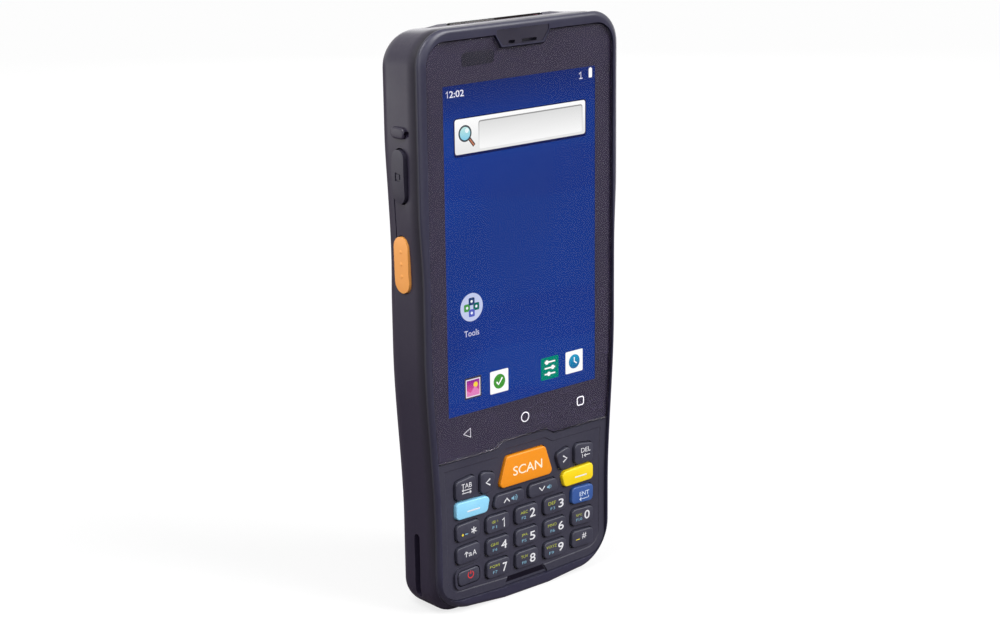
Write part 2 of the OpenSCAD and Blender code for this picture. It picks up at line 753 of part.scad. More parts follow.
// Raised ring round the power key
module guard(d, t) {
    plate(rounded(grown(digit_key(-2, 2), guard_w), key_r + guard_w), d, t);
}
module keypad_mat() {
    color("white") plate(keypad_bay(-fit), mat_d, mat_t);
}
module key_domes() {
    color(metal) for (shape = key_shapes) let (c = middle(shape))
        pillar(c[0], c[1], dome_r, dome_d, key_board_d);
}
module keypad_board() {
    color(board_green) plate(keypad_bay(-fit), key_board_d, key_board_t);
}

// ---- Inner parts ----

module chassis() {
    outline = [for (p = body_ring(chassis_d, wall + chassis_in))
        [sign(p[0]) * min(abs(p[0]), chassis_half), p[1]]];
    color(metal) difference() {
        union() {
            plate(outline, chassis_d, chassis_t);
            for (p = case_posts) pillar(p[0], p[1], post_r, chassis_d + chassis_t / 2, post_end_d);
            for (s = side_parts) side_tab(s);
            for (x = [-1, 1], z = board_feet)
                pillar(x * (board_w / 2 - foot_r - fit), z, foot_r, chassis_d + chassis_t / 2, board_d);
        }
        for (p = case_posts) pillar(p[0], p[1], screw_r + screw_play, chassis_back_d + 0.6, post_end_d + cut);
        for (p = frame_posts) pillar(p[0], p[1], screw_r + screw_play, chassis_d - cut, chassis_back_d + cut);
    }
}
module side_tab(s) {
    x = s[0] * (tab_x + tab_t / 2);
    block([x - tab_t / 2, chassis_d + chassis_t / 2, s[1] - s[2] / 2],
        [x + tab_t / 2, tab_top_d, s[1] + s[2] / 2]);
}
module chassis_screws() {
    head_h = 0.6;
    head_w = 0.7;
    bite = 1.4;
    color(metal) for (p = frame_posts) {
        pillar(p[0], p[1], screw_r, skirt_d - bite, chassis_back_d + head_h / 2);
        pillar(p[0], p[1], screw_r + head_w, chassis_back_d, chassis_back_d + head_h);
    }
}
module main_board() {
    color(board_green) plate(both_sides([
        [tongue_w / 2, socket_z + 1], [tongue_w / 2, board_bottom],
        [board_w / 2, board_bottom], [board_w / 2, board_top]
    ]), board_d, board_t);
}
module board_shields() {
    d = board_d + board_t;
    edge = board_w / 2 - 2;
    // Each shield's left, lower, right and upper side, upwards from the board's lower edge
    low = board_bottom;
    shields = [
        [-edge, low + 10, edge - 4, low + 34], [-edge, low + 38, 2, low + 68],
        [5, low + 40, edge, low + 64], [-edge, low + 72, edge - 3, low + 86]
    ];
    color("silver") for (s = shields) block([s[0], d, s[1]], [s[2], d + shield_h, s[3]]);
}
module data_socket() {
    r = socket_t / 2;
    shell = 0.3;
    color(metal) difference() {
        socket_shape(r, socket_w, socket_z, socket_h);
        socket_shape(r - shell, socket_w - 2 * shell, socket_z - cut, socket_h - 1.4);
    }
    color(trim_black) socket_tongue();
}
module socket_tongue() {
    block([-socket_w / 2 + 1.6, socket_depth - 0.35, socket_z + 1.2],
        [socket_w / 2 - 1.6, socket_depth + 0.35, socket_z + socket_h - 1]);
}
module socket_shape(r, w, z, h) {
    translate([0, at_depth(socket_depth), z])
        linear_extrude(h)
            polygon(concat(arc([w / 2 - r, 0], r, -90, 90, 10), arc([r - w / 2, 0], r, 90, 270, 10)));
}
module dock_contacts() {
    color(gold) for (x = dock_xs)
        translate([x, at_depth(socket_depth), 0.1]) cylinder(r = dock_r, h = wall + 0.7, $fn = 32);
}
module battery_pack() {
    color([0.15, 0.16, 0.18]) difference() {
        block([-pack_w / 2, pack_d, pack_z], [pack_w / 2, pack_d + pack_t, pack_z + pack_h]);
        // Finger scoop at the upper edge
        pillar(0, pack_z + pack_h + 4, 7, pack_d + pack_t - 1.2, pack_d + pack_t + cut);
    }
}
module battery_contacts() {
    pitch = 2.6;
    w = 1.4;
    color(gold) for (k = [-2:2])
        block([k * pitch - w / 2, pack_d + 1, bay_z + touch],
            [k * pitch + w / 2, pack_d + pack_t - 1.6, pack_z - touch]);
}
module scan_engine() {
    d = engine_d;
    color([0.12, 0.12, 0.13]) difference() {
        block([-engine_w / 2, d, engine_z], [engine_w / 2, d + engine_t, engine_z + engine_h]);
        // Lens well and aimer port in the top
        translate([-engine_w / 5, at_depth(d + engine_t / 2), engine_z + engine_h - 3])
            cylinder(r = 2.6, h = 4, $fn = 40);
        translate([engine_w / 4, at_depth(d + engine_t / 2), engine_z + engine_h - 2])
            cylinder(r = 1.8, h = 3, $fn = 32);
    }
}
module loudspeaker() {
    color(trim_black) block([speaker_x - speaker_w / 2, door_d - touch - speaker_t, speaker_z],
        [speaker_x + speaker_w / 2, door_d - touch, speaker_z + speaker_h]);
}
module earpiece() {
    color(trim_black) block([-earpiece_w / 2, trim_t + web_t + touch, earpiece_z],
        [earpiece_w / 2, skirt_d, earpiece_z + earpiece_h]);
}
module light_sensor() {
    color(trim_black) block([sensor_x - sensor_w / 2, tape_d + touch, sensor_z - sensor_h / 2],
        [sensor_x + sensor_w / 2, skirt_d - 0.6, sensor_z + sensor_h / 2]);
}
module vibration_motor() {
    translate([motor_x, at_depth(door_d - touch - motor_r), speaker_z + 3])
        rotate([0, 90, 0]) color(metal) cylinder(r = motor_r, h = motor_l, $fn = 40);
}

// ---- Rear ----
module at_window() {
    translate([0, at_depth(window_depth), window_z]) rotate([window_turn, 0, 0]) children();
}
module scan_window() {
    color([0.05, 0.04, 0.06]) at_window()
        translate([-window_w / 2, -window_l / 2, -window_t]) cube([window_w, window_l, window_t]);
}
door_outline = rounded(box_outline(door_w, door_z, door_z + door_h), door_r);
// The hooks that the door turns on, or with a gap g the room for their swing
module hooks(g = 0, room = 0) {
    for (x = hook_xs)
        block([x - hook_w / 2 - g, door_d - fit - hook_t - room, door_z - hook_reach - room],
            [x + hook_w / 2 + g, door_d - fit + g, door_z + hook_l + room]);
}
module battery_door() {
    color(shell_grey) difference() {
        union() {
            plate(door_outline, door_d, door_t);
            hooks();
            for (x = hook_xs)
                block([x - hook_w / 2, door_d - fit - hook_t / 2, door_z + 0.4],
                    [x + hook_w / 2, door_d + door_t / 2, door_z + hook_l]);
        }
        // Finger dip at the upper edge
        translate([0, at_depth(body_t + dip_r - dip_h), door_z + door_h - 3])
            rotate([0, 90, 0]) cylinder(r = dip_r, h = dip_w, center = true, $fn = 72);
    }
}
module side_opening(s, w, l, d, g) {
    x = s[0] > 0 ? chassis_half : -rim_w;
    side_slot(x, x + rim_w - chassis_half, d, s[1], w + 2 * g, l + 2 * g);
}
module rear_housing() {
    n = 6;
    outer = concat([seam_d + seam_gap, skirt_d - 1, skirt_d, body_t / 2],
        [for (k = [0:n]) body_t - back_edge_r + back_edge_r * sin(90 * k / n)]);
    mouth = seam_d + seam_gap;
    hollow = concat([mouth, skirt_d - 1, skirt_d, body_t / 2],
        [for (k = [0:n]) body_t - back_edge_r + (back_edge_r - wall) * sin(90 * k / n)]);
    color(shell_grey) difference() {
        union() {
            difference() {
                loft(outer, [for (d = outer) body_ring(d)]);
                // The hollow, less what stands in it
                difference() {
                    loft(concat([mouth - cut], hollow),
                        [for (d = concat([mouth], hollow)) body_ring(d, wall)]);
                    battery_bay();
                    for (p = case_posts) pillar(p[0], p[1], post_r + post_wall, post_end_d + touch, body_t);
                    for (x = [-1, 1]) strap_backing(x);
                    window_seat();
                }
            }
            lug();
            window_cheeks();
        }
        battery_room();
        for (p = case_posts) {
            pillar(p[0], p[1], screw_r + fit, post_end_d - cut, body_t + cut);
            pillar(p[0], p[1], screw_head_r + fit, screw_seat_d - touch, body_t + cut);
        }
        side_opening([-1, side_key_z], side_key_w, side_key_l, side_key_depth, side_play);
        for (x = [-1, 1]) side_opening([x, trigger_z], trigger_w, trigger_l, trigger_depth, side_play);
        for (x = [-1, 1]) strap_slot(x);
        window_opening();
        grille();
        socket_shape(socket_t / 2 + fit, socket_w + 2 * fit, -cut, wall + 3);
        for (x = dock_xs)
            translate([x, at_depth(socket_depth), -cut])
                cylinder(r = dock_r + touch, h = wall + 3, $fn = 32);
        // Groove that joins the side key's opening to the trigger's
        block([-rim_w, groove_d, trigger_z + trigger_l / 2 - 2],
            [-groove_x, groove_d + groove_w, side_key_z - side_key_l / 2 + 1]);
        // Hole under the strap lug
        lug_hole();
    }
}
module lug() {
    side_slot(-rim_w / 2 - shoulder_flare - lug_proud, -rim_w / 2, lug_depth, lug_z, lug_l, lug_h);
}
module lug_hole() {
    translate([-rim_w / 2 - shoulder_flare, at_depth(lug_depth - lug_l / 2 - cut), lug_z])
        rotate([-90, 0, 0]) cylinder(r = lug_bore_r, h = lug_l / 2 + cut, $fn = 24);
}
module strap_slot(x) {
    side_slot(x > 0 ? strap_floor : -chin_w, x > 0 ? chin_w : -strap_floor,
        strap_depth, strap_z, strap_slot_w, strap_slot_l);
}

module battery_bay() {
    block([-bay_w / 2 - bay_wall, bay_d, bay_z - bay_wall],
        [bay_w / 2 + bay_wall, body_t, bay_z + bay_h + bay_wall]);
}
module battery_room() {
    block([-bay_w / 2, bay_d + bay_floor_t, bay_z], [bay_w / 2, door_d + cut, bay_z + bay_h]);
    plate(rounded(grown(box_outline(door_w, door_z, door_z + door_h), door_gap), door_r + door_gap),
        door_d - touch, door_t + cut);
    hooks(loose, hook_room);
}
module strap_backing(x) {
    w = strap_slot_w / 2 + wall;
    h = strap_slot_l / 2 + wall;
    block([x > 0 ? strap_floor - wall : -strap_floor - 2, strap_depth - w, strap_z - h],
        [x > 0 ? strap_floor + 2 : wall - strap_floor, strap_depth + w, strap_z + h]);
}
module window_seat() {
    at_window()
        translate([-window_w / 2 - wall, -window_l / 2 - wall, -window_t - window_ledge])
            cube([window_w + 2 * wall, window_l + 2 * wall, window_t + window_ledge + 2]);
}
// The housing beside the window, level with the pane, whose front edge stands free
module window_cheeks() {
    half = window_w / 2 + cheek_w;
    at_window()
        translate([0, window_l / 2 - 0.1, 0])
            rotate([90, 0, 0])
                linear_extrude(window_l - 0.2)
                    polygon(both_sides([[half, -window_t - 0.3], [half, -0.9], [half - 7, 0]]));
}
module window_opening() {
    at_window() {
        translate([-window_w / 2 - fit, -window_l / 2 - fit, -window_t - touch])
            cube([window_w + 2 * fit, window_l + 2 * fit, 8]);
        translate([2 - window_w / 2, 1 - window_l / 2, -8])
            cube([window_w - 4, window_l - 2, 9]);
    }
}
module grille() {
    bar = 2;
    slot = 0.8;
    for (k = [-2:2]) let (z = speaker_z + speaker_h / 2 + k * bar)
        block([speaker_x - speaker_w / 3, door_d - cut, z - slot / 2],
            [speaker_x + speaker_w / 3, body_t + cut, z + slot / 2]);
}

// ---- Side controls ----
// A control on the right side: its cap through the wall, a lip behind it and a stem to its switch
module side_control(w, l, d, z, proud, seat, travel) {
    lip = 1.6;
    lip_t = 0.7;
    bulge = 0.3;
    over = 0.5;
    stem_r = 1.2;
    steps = 14;
    face = [for (k = [0:steps]) let (u = 2 * k / steps - 1, h = z + u * (l / 2 + over))
        [body_half(h, d) + proud - bulge * u * u, h]];
    intersection() {
        side_slot(seat - lip_t / 2, rim_w, d, z, w, l);
        translate([0, at_depth(d) + w, 0])
            rotate([90, 0, 0])
                linear_extrude(2 * w)
                    polygon(concat(
                        [[seat - lip_t, z - l / 2 - over]], face, [[seat - lip_t, z + l / 2 + over]]
                    ));
    }
    block([seat - lip_t, d - w / 2 + bulge, z - l / 2 - lip], [seat, d + w / 2 - bulge, z + l / 2 + lip]);
    stem = switch_x + switch_t + travel + touch;
    translate([stem, at_depth(switch_depth), z])
        rotate([0, 90, 0]) cylinder(r = stem_r, h = seat - lip_t / 2 - stem, $fn = 32);
}
module trigger() {
    side_control(trigger_w, trigger_l, trigger_depth, trigger_z, trigger_proud, trigger_seat, trigger_travel);
}
module trigger_right() {
    color(scan_orange) trigger();
}
module trigger_left() {
    color(scan_orange) mirror([1, 0, 0]) trigger();
}
module side_key() {
    x = body_half(side_key_z, side_key_depth) + side_key_proud;
    color(trim_black) mirror([1, 0, 0]) difference() {
        side_control(side_key_w, side_key_l, side_key_depth, side_key_z,
            side_key_proud, side_key_seat, side_key_travel);
        // A small square outline pressed into the face
        difference() {
            face_block(x - 0.3, 1.1);
            face_block(x - cut, 0.6);
        }
    }
}
module face_block(x, half) {
    block([x, side_key_depth - half, side_key_z - half],
        [x + 2 * cut, side_key_depth + half, side_key_z + half]);
}
module side_switches() {
    color(metal) for (s = side_parts) {
        x = s[0] * (switch_x + switch_t / 2);
        block([x - switch_t / 2, switch_depth - switch_w / 2, s[1] - switch_h / 2],
            [x + switch_t / 2, switch_depth + switch_w / 2, s[1] + switch_h / 2]);
    }
}
module switch_strips() {
    low = chassis_back_d + 0.2;
    x = tab_x + tab_t;
    z0 = trigger_z - side_parts[1][2] / 2;
    color(board_green) {
        block([-x - strip_t, low, z0], [-x, tab_top_d, side_key_z + side_parts[0][2] / 2]);
        block([x, low, z0], [x + strip_t, tab_top_d, trigger_z + side_parts[2][2] / 2]);
    }
}
module housing_screws() {
    cross_w = 0.5;
    cross_l = 2.6;
    cross_h = 1.6;
    tip_gap = 1.4;
    color(metal) for (p = case_posts) {
        pillar(p[0], p[1], screw_r, chassis_back_d + tip_gap, screw_seat_d + loose);
        difference() {
            pillar(p[0], p[1], screw_head_r, screw_seat_d, screw_seat_d + screw_head_h);
            for (size = [[cross_l, cross_h, cross_w], [cross_w, cross_h, cross_l]])
                translate([p[0], at_depth(body_t), p[1]]) cube(size, center = true);
        }
    }
}

rear_housing();
front_frame();
battery_door();
touch_glass();
window_mask();
glass_tape();
lcd_panel();
backlight();
earpiece_trim();
keypad_fascia();
for (i = [0:len(key_names) - 1]) key(i);
keypad_mat();
key_domes();
keypad_board();
chassis();
chassis_screws();
main_board();
board_shields();
side_key();
trigger_left();
trigger_right();
side_switches();
switch_strips();
scan_engine();
scan_window();
battery_pack();
battery_contacts();
loudspeaker();
earpiece();
light_sensor();
vibration_motor();
data_socket();
dock_contacts();
housing_seal();
housing_screws();
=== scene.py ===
import bpy
import bmesh
from math import acos, atan2, cos, degrees, hypot, pi, radians, sin, sqrt, tan
from mathutils import Matrix, Vector


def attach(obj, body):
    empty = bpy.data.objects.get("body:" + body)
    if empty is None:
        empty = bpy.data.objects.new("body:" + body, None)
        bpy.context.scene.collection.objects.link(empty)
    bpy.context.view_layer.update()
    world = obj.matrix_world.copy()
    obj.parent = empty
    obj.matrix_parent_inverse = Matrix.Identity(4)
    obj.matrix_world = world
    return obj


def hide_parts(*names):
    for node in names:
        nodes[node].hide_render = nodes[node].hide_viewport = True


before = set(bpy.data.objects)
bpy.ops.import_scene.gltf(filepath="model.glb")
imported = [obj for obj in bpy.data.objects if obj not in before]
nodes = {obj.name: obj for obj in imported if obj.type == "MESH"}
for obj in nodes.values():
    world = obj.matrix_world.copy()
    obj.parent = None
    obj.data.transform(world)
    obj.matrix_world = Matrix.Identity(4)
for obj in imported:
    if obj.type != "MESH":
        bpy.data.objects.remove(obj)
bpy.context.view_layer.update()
scene = bpy.context.scene
mm = 0.001

view = {
    "lens": 72.866,
    "sensor": 36,
    "place": (-0.339175, -0.396289, 0.219757),
    "right": (0.75840222, -0.6516794, -0.01183341),
    "up": (0.18068483, 0.19276172, 0.96446665),
    "ahead": (0.62624202, 0.73359176, -0.2639395),
}


def makeCamera():
    data = bpy.data.cameras.new("camera")
    data.lens = view["lens"]
    data.sensor_width = view["sensor"]
    data.clip_start = 0.01
    camera = bpy.data.objects.new("camera", data)
    columns = [Vector(view["right"]), Vector(view["up"]), -Vector(view["ahead"]), Vector(view["place"])]
    camera.matrix_world = Matrix([[c[i] for c in columns] for i in range(3)] + [[0, 0, 0, 1]])
    scene.collection.objects.link(camera)
    scene.camera = camera
    print("camera ready")


makeCamera()

# Sizes are in millimetres. x is across, depth counts from the front face inwards, z is height.

shell = {
    "thick": 18.8, "height": 155.8, "rimWide": 65.8, "chinWide": 61.4,
    "taperTop": 72.2, "taperBottom": 24.2,
    "flare": 0.95, "flareLow": 90, "flareHigh": 112, "flareDepth": 1.2,
    "hollow": 0.8, "hollowZ": 107, "hollowReach": 22, "hollowStart": 5, "hollowDepth": 9,
    "rimRound": 1.2, "backRound": 6, "wall": 1.4, "topSlope": 5.3, "topCorner": 9,
    "bottomCorner": 12.2, "rearCorner": 7.2, "cornerDepth": 4.3,
    "baseFlat": 16, "baseCrown": 1.1, "rearCrown": 0.1,
    "cornerSteps": 12, "sideSteps": 44, "seam": 2.4, "seamGap": 0.1,
    "groove": 0.42, "rearGroove": 0.5, "grooveReach": 2.8,
    "fit": 0.15, "touch": 0.05,
}
glass = {
    "z": 43, "top": 152.7, "rim": 1.25, "corner": 6, "recess": 0.2, "thick": 0.9, "edge": 0.22, "gap": 0.22,
    "stepHigh": 1.6, "stepHalf": 7.9, "stepRun": 2.7, "sideSteps": 30,
    "notchHalf": 9.4, "notchBaseHalf": 7.3, "notchHigh": 3.3,
    "trimGap": 0.6, "trimFront": 0.15, "trimBack": 1.1,
}
# Print on the back of the glass; its wall round the glass edge is a dark sheet that paints the shade of the
# gap
glassPrint = {"gap": 0.16, "wall": 0.05, "front": 0.36, "floor": 1.118, "back": 1.19}
screen = {"wide": 51.84, "low": 55, "high": 141.4, "border": 2.68, "foot": 6.4, "head": 3}
panel = {
    "rim": 1.15, "z": 3.3, "corner": 6.5, "recess": 0.85, "thick": 0.9, "inner": 2.3, "sink": 0.2,
    "ledge": 1.1, "barZ": 41.4, "guardWide": 0.6, "guardHigh": 0.45, "step": 0.2, "sideSteps": 16,
    "plateHalf": 7.8, "plateTopHalf": 6.4, "plateLow": 0.4, "plateHigh": 2.6, "fieldIn": 0.35,
}


def place(x, depth, z):
    return Vector((x * mm, (depth - shell["thick"] / 2) * mm, z * mm))


def ease(t):
    t = min(1, max(0, t))
    return t * t * (3 - 2 * t)


def rimHalf(z):
    drop = ease((shell["taperTop"] - z) / (shell["taperTop"] - shell["taperBottom"]))
    return shell["rimWide"] / 2 - (shell["rimWide"] - shell["chinWide"]) / 2 * drop


def bodyHalf(z, depth):
    out = sin(pi / 2 * min(1, depth / shell["flareDepth"]))
    flare = shell["flare"] * out * ease((z - shell["flareLow"]) / (shell["flareHigh"] - shell["flareLow"]))
    hollow = ease((depth - shell["hollowStart"]) / shell["hollowDepth"])
    hollow *= ease(1 - abs(z - shell["hollowZ"]) / shell["hollowReach"])
    return rimHalf(z) + flare - shell["hollow"] * hollow


def rimInset(depth):
    r = shell["rimRound"]
    return r - sqrt(max(0, r * r - (r - depth) ** 2)) if depth < r else 0


def backInset(depth, wall):
    r = shell["backRound"]
    past = depth - (shell["thick"] - r)
    return r - sqrt(max(0, (r - wall) ** 2 - past ** 2)) if past > 0 else wall


def arc(centre, r, start, end, steps):
    turns = [radians(start + (end - start) * k / steps) for k in range(steps + 1)]
    return [(centre[0] + r * cos(a), centre[1] + r * sin(a)) for a in turns]


def bothSides(half):
    return half + [(-x, z) for x, z in reversed(half)]


def bodyRing(depth, wall=0):
    e = rimInset(depth) + backInset(depth, wall)
    top = shell["height"] - tan(radians(shell["topSlope"])) * max(0, depth - shell["rimRound"]) - e
    # Behind the rim the lower corners get tighter and the base flatter
    behind = ease(depth / shell["cornerDepth"])
    corner = shell["bottomCorner"] + (shell["rearCorner"] - shell["bottomCorner"]) * behind
    crown = shell["baseCrown"] + (shell["rearCrown"] - shell["baseCrown"]) * behind
    rTop, rLow = max(shell["topCorner"] - e, 0.5), max(corner - e, 0.5)
    zTop, zLow = top - rTop, e + crown + rLow
    xTop, xLow = bodyHalf(zTop, depth) - e, bodyHalf(zLow, depth) - e
    heights = [zLow + (zTop - zLow) * k / shell["sideSteps"] for k in range(1, shell["sideSteps"])]
    return bothSides(
        [(shell["baseFlat"] / 2, e)]
        + arc((xLow - rLow, zLow), rLow, -90, 0, shell["cornerSteps"])
        + [(bodyHalf(z, depth) - e, z) for z in heights]
        + arc((xTop - rTop, zTop), rTop, 0, 90, shell["cornerSteps"])
    )


def glassHalf(z):
    return rimHalf(z) - glass["rim"]


def glassOutline(g=0):
    # The window of the frame, grown by g
    top, low, r = glass["top"] + g, glass["z"] - g, glass["corner"] + g
    bend, steps = top - r, glass["sideSteps"]
    sides = [low + (bend - low) * k / steps for k in range(1, steps)]
    return bothSides(
        [(glass["stepHalf"], low + glass["stepHigh"]), (glass["stepHalf"] + glass["stepRun"], low)]
        + [(glassHalf(low) + g, low)] + [(glassHalf(z) + g, z) for z in sides]
        + arc((glassHalf(bend) + g - r, bend), r, 0, 90, shell["cornerSteps"])
        + [(glass["notchHalf"] - g, top), (glass["notchBaseHalf"] - g, top - glass["notchHigh"])]
    )


def trimOutline(g=0):
    gap = glass["trimGap"]
    base, z0 = glass["notchBaseHalf"] - gap, glass["top"] - glass["notchHigh"]
    side = base + (glass["notchHalf"] - glass["notchBaseHalf"])
    return bothSides([
        (base + g, z0 + gap - g), (side + g, z0 + glass["notchHigh"]),
        (side + g, shell["height"] - shell["rimRound"] - gap + g),
    ])


def panelHalf(z):
    return rimHalf(z) - panel["rim"]


def panelOutline(g=0):
    # The keypad panel, grown by g. Its sides stop short of the top, so they can't cross it for a negative g
    r, low, top = panel["corner"] + g, panel["z"] - g, glass["z"] - shell["fit"] + g
    xLow, bend = panelHalf(low + r) + g, low + r + shell["baseCrown"] / 2
    steps = panel["sideSteps"]
    sides = [bend + (top - bend) * k / steps for k in range(1, steps - 1)]
    return bothSides(
        [(shell["baseFlat"] / 2, low)] + arc((xLow - r, bend), r, -90, 0, shell["cornerSteps"])
        + [(panelHalf(z) + g, z) for z in sides]
        + [(panelHalf(top) + g, top), (glass["stepHalf"] + glass["stepRun"], top)]
        + [(glass["stepHalf"], top + glass["stepHigh"])]
    )


def boxOutline(half, low, high):
    return [(half, low), (half, high), (-half, high), (-half, low)]


def unit(x, z):
    length = hypot(x, z)
    return x / length, z / length


def rounded(points, r, steps=6):
    made = []
    for i, b in enumerate(points):
        a, c = points[i - 1], points[(i + 1) % len(points)]
        u, v = unit(a[0] - b[0], a[1] - b[1]), unit(c[0] - b[0], c[1] - b[1])
        half = acos(max(-1, min(1, u[0] * v[0] + u[1] * v[1]))) / 2
        middle = unit(u[0] + v[0], u[1] + v[1])
        centre = (b[0] + middle[0] * r / sin(half), b[1] + middle[1] * r / sin(half))
        p = (b[0] + u[0] * r / tan(half), b[1] + u[1] * r / tan(half))
        q = (b[0] + v[0] * r / tan(half), b[1] + v[1] * r / tan(half))
        start = degrees(atan2(p[1] - centre[1], p[0] - centre[0]))
        end = degrees(atan2(q[1] - centre[1], q[0] - centre[0]))
        made += arc(centre, r, start, start + (end - start + 540) % 360 - 180, steps)
    return made


def grown(points, g):
    made = []
    for i, b in enumerate(points):
        a, c = points[i - 1], points[(i + 1) % len(points)]
        p, q = unit(b[0] - a[0], b[1] - a[1]), unit(c[0] - b[0], c[1] - b[1])
        share = g / (1 + p[1] * q[1] + p[0] * q[0])
        made.append((b[0] + (p[1] + q[1]) * share, b[1] - (p[0] + q[0]) * share))
    return made


def vertsOf(result):
    return [v for v in result["geom"] if isinstance(v, bmesh.types.BMVert)]


def sweep(bm, points, along):
    # A closed solid: one face, pulled along a vector. Gives back the first face's edges.
    face = bm.faces.new([bm.verts.new(p) for p in points])
    rim = list(face.edges)
    pulled = bmesh.ops.extrude_face_region(bm, geom=[face])
    bmesh.ops.translate(bm, verts=vertsOf(pulled), vec=along)
    return rim


def plate(bm, outline, front, back):
    return sweep(bm, [place(x, front, z) for x, z in outline], Vector((0, (back - front) * mm, 0)))


def block(bm, low, high):
    outline = [(low[0], low[2]), (high[0], low[2]), (high[0], high[2]), (low[0], high[2])]
    return plate(bm, outline, low[1], high[1])


def pillar(bm, x, z, r, front, back, steps=40):
    return plate(bm, arc((x, z), r, 0, 360 - 360 / steps, steps - 1), front, back)


def sideSlot(bm, x0, x1, depth, z, wide, long):
    # A slot shape across the side, from x0 to x1
    r = min(wide, long) / 2
    if long > wide:
        points = arc((0, long / 2 - r), r, 0, 180, 20) + arc((0, r - long / 2), r, 180, 360, 20)
    else:
        points = arc((wide / 2 - r, 0), r, -90, 90, 20) + arc((r - wide / 2, 0), r, 90, 270, 20)
    return sweep(bm, [place(x1, depth + a, z + b) for a, b in points], Vector(((x0 - x1) * mm, 0, 0)))


def roundEdges(bm, edges, r, steps=3):
    bmesh.ops.bevel(
        bm, geom=edges, offset=r * mm, offset_type="OFFSET", segments=steps, profile=0.5,
        affect="EDGES", material=-1, clamp_overlap=True,
    )


def loft(bm, depths, rings):
    verts = [bm.verts.new(place(x, depths[0], z)) for x, z in rings[0]]
    edges = [bm.edges.new((verts[i - 1], verts[i])) for i in range(len(verts))]
    bm.faces.new(verts)
    for depth, ring in zip(depths[1:], rings[1:]):
        made = bmesh.ops.extrude_edge_only(bm, edges=edges)["geom"]
        fresh = {g for g in made if isinstance(g, bmesh.types.BMVert)}
        edges = [g for g in made if isinstance(g, bmesh.types.BMEdge) and set(g.verts) <= fresh]
        verts = [next(e.other_vert(v) for e in v.link_edges if e.other_vert(v) in fresh) for v in verts]
        for v, (x, z) in zip(verts, ring):
            v.co = place(x, depth, z)
    bm.faces.new(verts)


def draft(bm, name="draft"):
    bmesh.ops.recalc_face_normals(bm, faces=bm.faces[:])
    mesh = bpy.data.meshes.new(name)
    bm.to_mesh(mesh)
    bm.free()
    piece = bpy.data.objects.new(name, mesh)
    scene.collection.objects.link(piece)
    return piece


def shape(make, *values):
    # An object from a function that draws into a bmesh
    bm = bmesh.new()
    make(bm, *values)
    return draft(bm)


def carve(piece, cutters, operation="DIFFERENCE"):
    for cutter in cutters:
        cut = piece.modifiers.new("cut", "BOOLEAN")
        cut.operation = operation
        cut.solver = "EXACT"
        cut.object = cutter
    settle(piece)
    for cutter in cutters:
        bpy.data.objects.remove(cutter)
    return piece


def settle(piece):
    # Makes the modifiers' result the piece's own mesh
    result = bpy.data.meshes.new_from_object(piece.evaluated_get(bpy.context.evaluated_depsgraph_get()))
    piece.modifiers.clear()
    piece.data = result


def dress(piece, name, body, material, replaces=(), edge=0, angle=32):
    # Name, finish and body of a piece, with softened edges
    piece.name = name
    piece.data.name = name
    for each in material if isinstance(material, list) else [material]:
        piece.data.materials.append(each)
    piece.data.shade_smooth()
    if edge:
        soft = piece.modifiers.new("softEdges", "BEVEL")
        soft.width = edge * mm
        soft.segments = 2
        soft.limit_method = "ANGLE"
        soft.angle_limit = radians(angle)
        soft.use_clamp_overlap = True
        soft.harden_normals = True
    else:
        piece.data.set_sharp_from_angle(angle=radians(angle))
    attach(piece, body)
    if replaces:
        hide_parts(*replaces)
    return piece


class Tree:
    # Short names for adding and joining shader nodes
    def __init__(self, tree):
        self.tree = tree

    def add(self, kind, **values):
        node = self.tree.nodes.new("ShaderNode" + kind)
        for key, value in values.items():
            setattr(node, key, value)
        return node

    def set(self, node, **values):
        for key, value in values.items():
            self.feed(value, node.inputs[key.replace("_", " ")])
        return node

    def feed(self, value, socket):
        if isinstance(value, bpy.types.NodeSocket):
            self.tree.links.new(value, socket)
        else:
            socket.default_value = value

    def math(self, operation, a, b=0.0, clamp=False):
        node = self.add("Math", operation=operation, use_clamp=clamp)
        self.feed(a, node.inputs[0])
        self.feed(b, node.inputs[1])
        return node.outputs[0]

    def mix(self, share, a, b):
        node = self.add("Mix", data_type="RGBA")
        self.feed(share, node.inputs[0])
        self.feed(a, node.inputs[6])
        self.feed(b, node.inputs[7])
        return node.outputs[2]

    def blend(self, share, a, b):
        node = self.add("Mix", data_type="FLOAT")
        self.feed(share, node.inputs[0])
        self.feed(a, node.inputs[2])
        self.feed(b, node.inputs[3])
        return node.outputs[0]

    def ramp(self, value, low, high):
        node = self.add("MapRange", clamp=True)
        self.set(node, Value=value, From_Min=low, From_Max=high)
        return node.outputs[0]

    def group(self, name, **values):
        node = self.add("Group")
        node.node_tree = bpy.data.node_groups[name]
        return self.set(node, **values)


def newGroup(name, inputs, outputs):
    tree = bpy.data.node_groups.new(name, "ShaderNodeTree")
    for label, kind, value in inputs:
        socket = tree.interface.new_socket(name=label, in_out="INPUT", socket_type="NodeSocket" + kind)
        if value is not None:
            socket.default_value = value
    for label, kind in outputs:
        tree.interface.new_socket(name=label, in_out="OUTPUT", socket_type="NodeSocket" + kind)
    t = Tree(tree)
    return t, tree.nodes.new("NodeGroupInput"), tree.nodes.new("NodeGroupOutput")


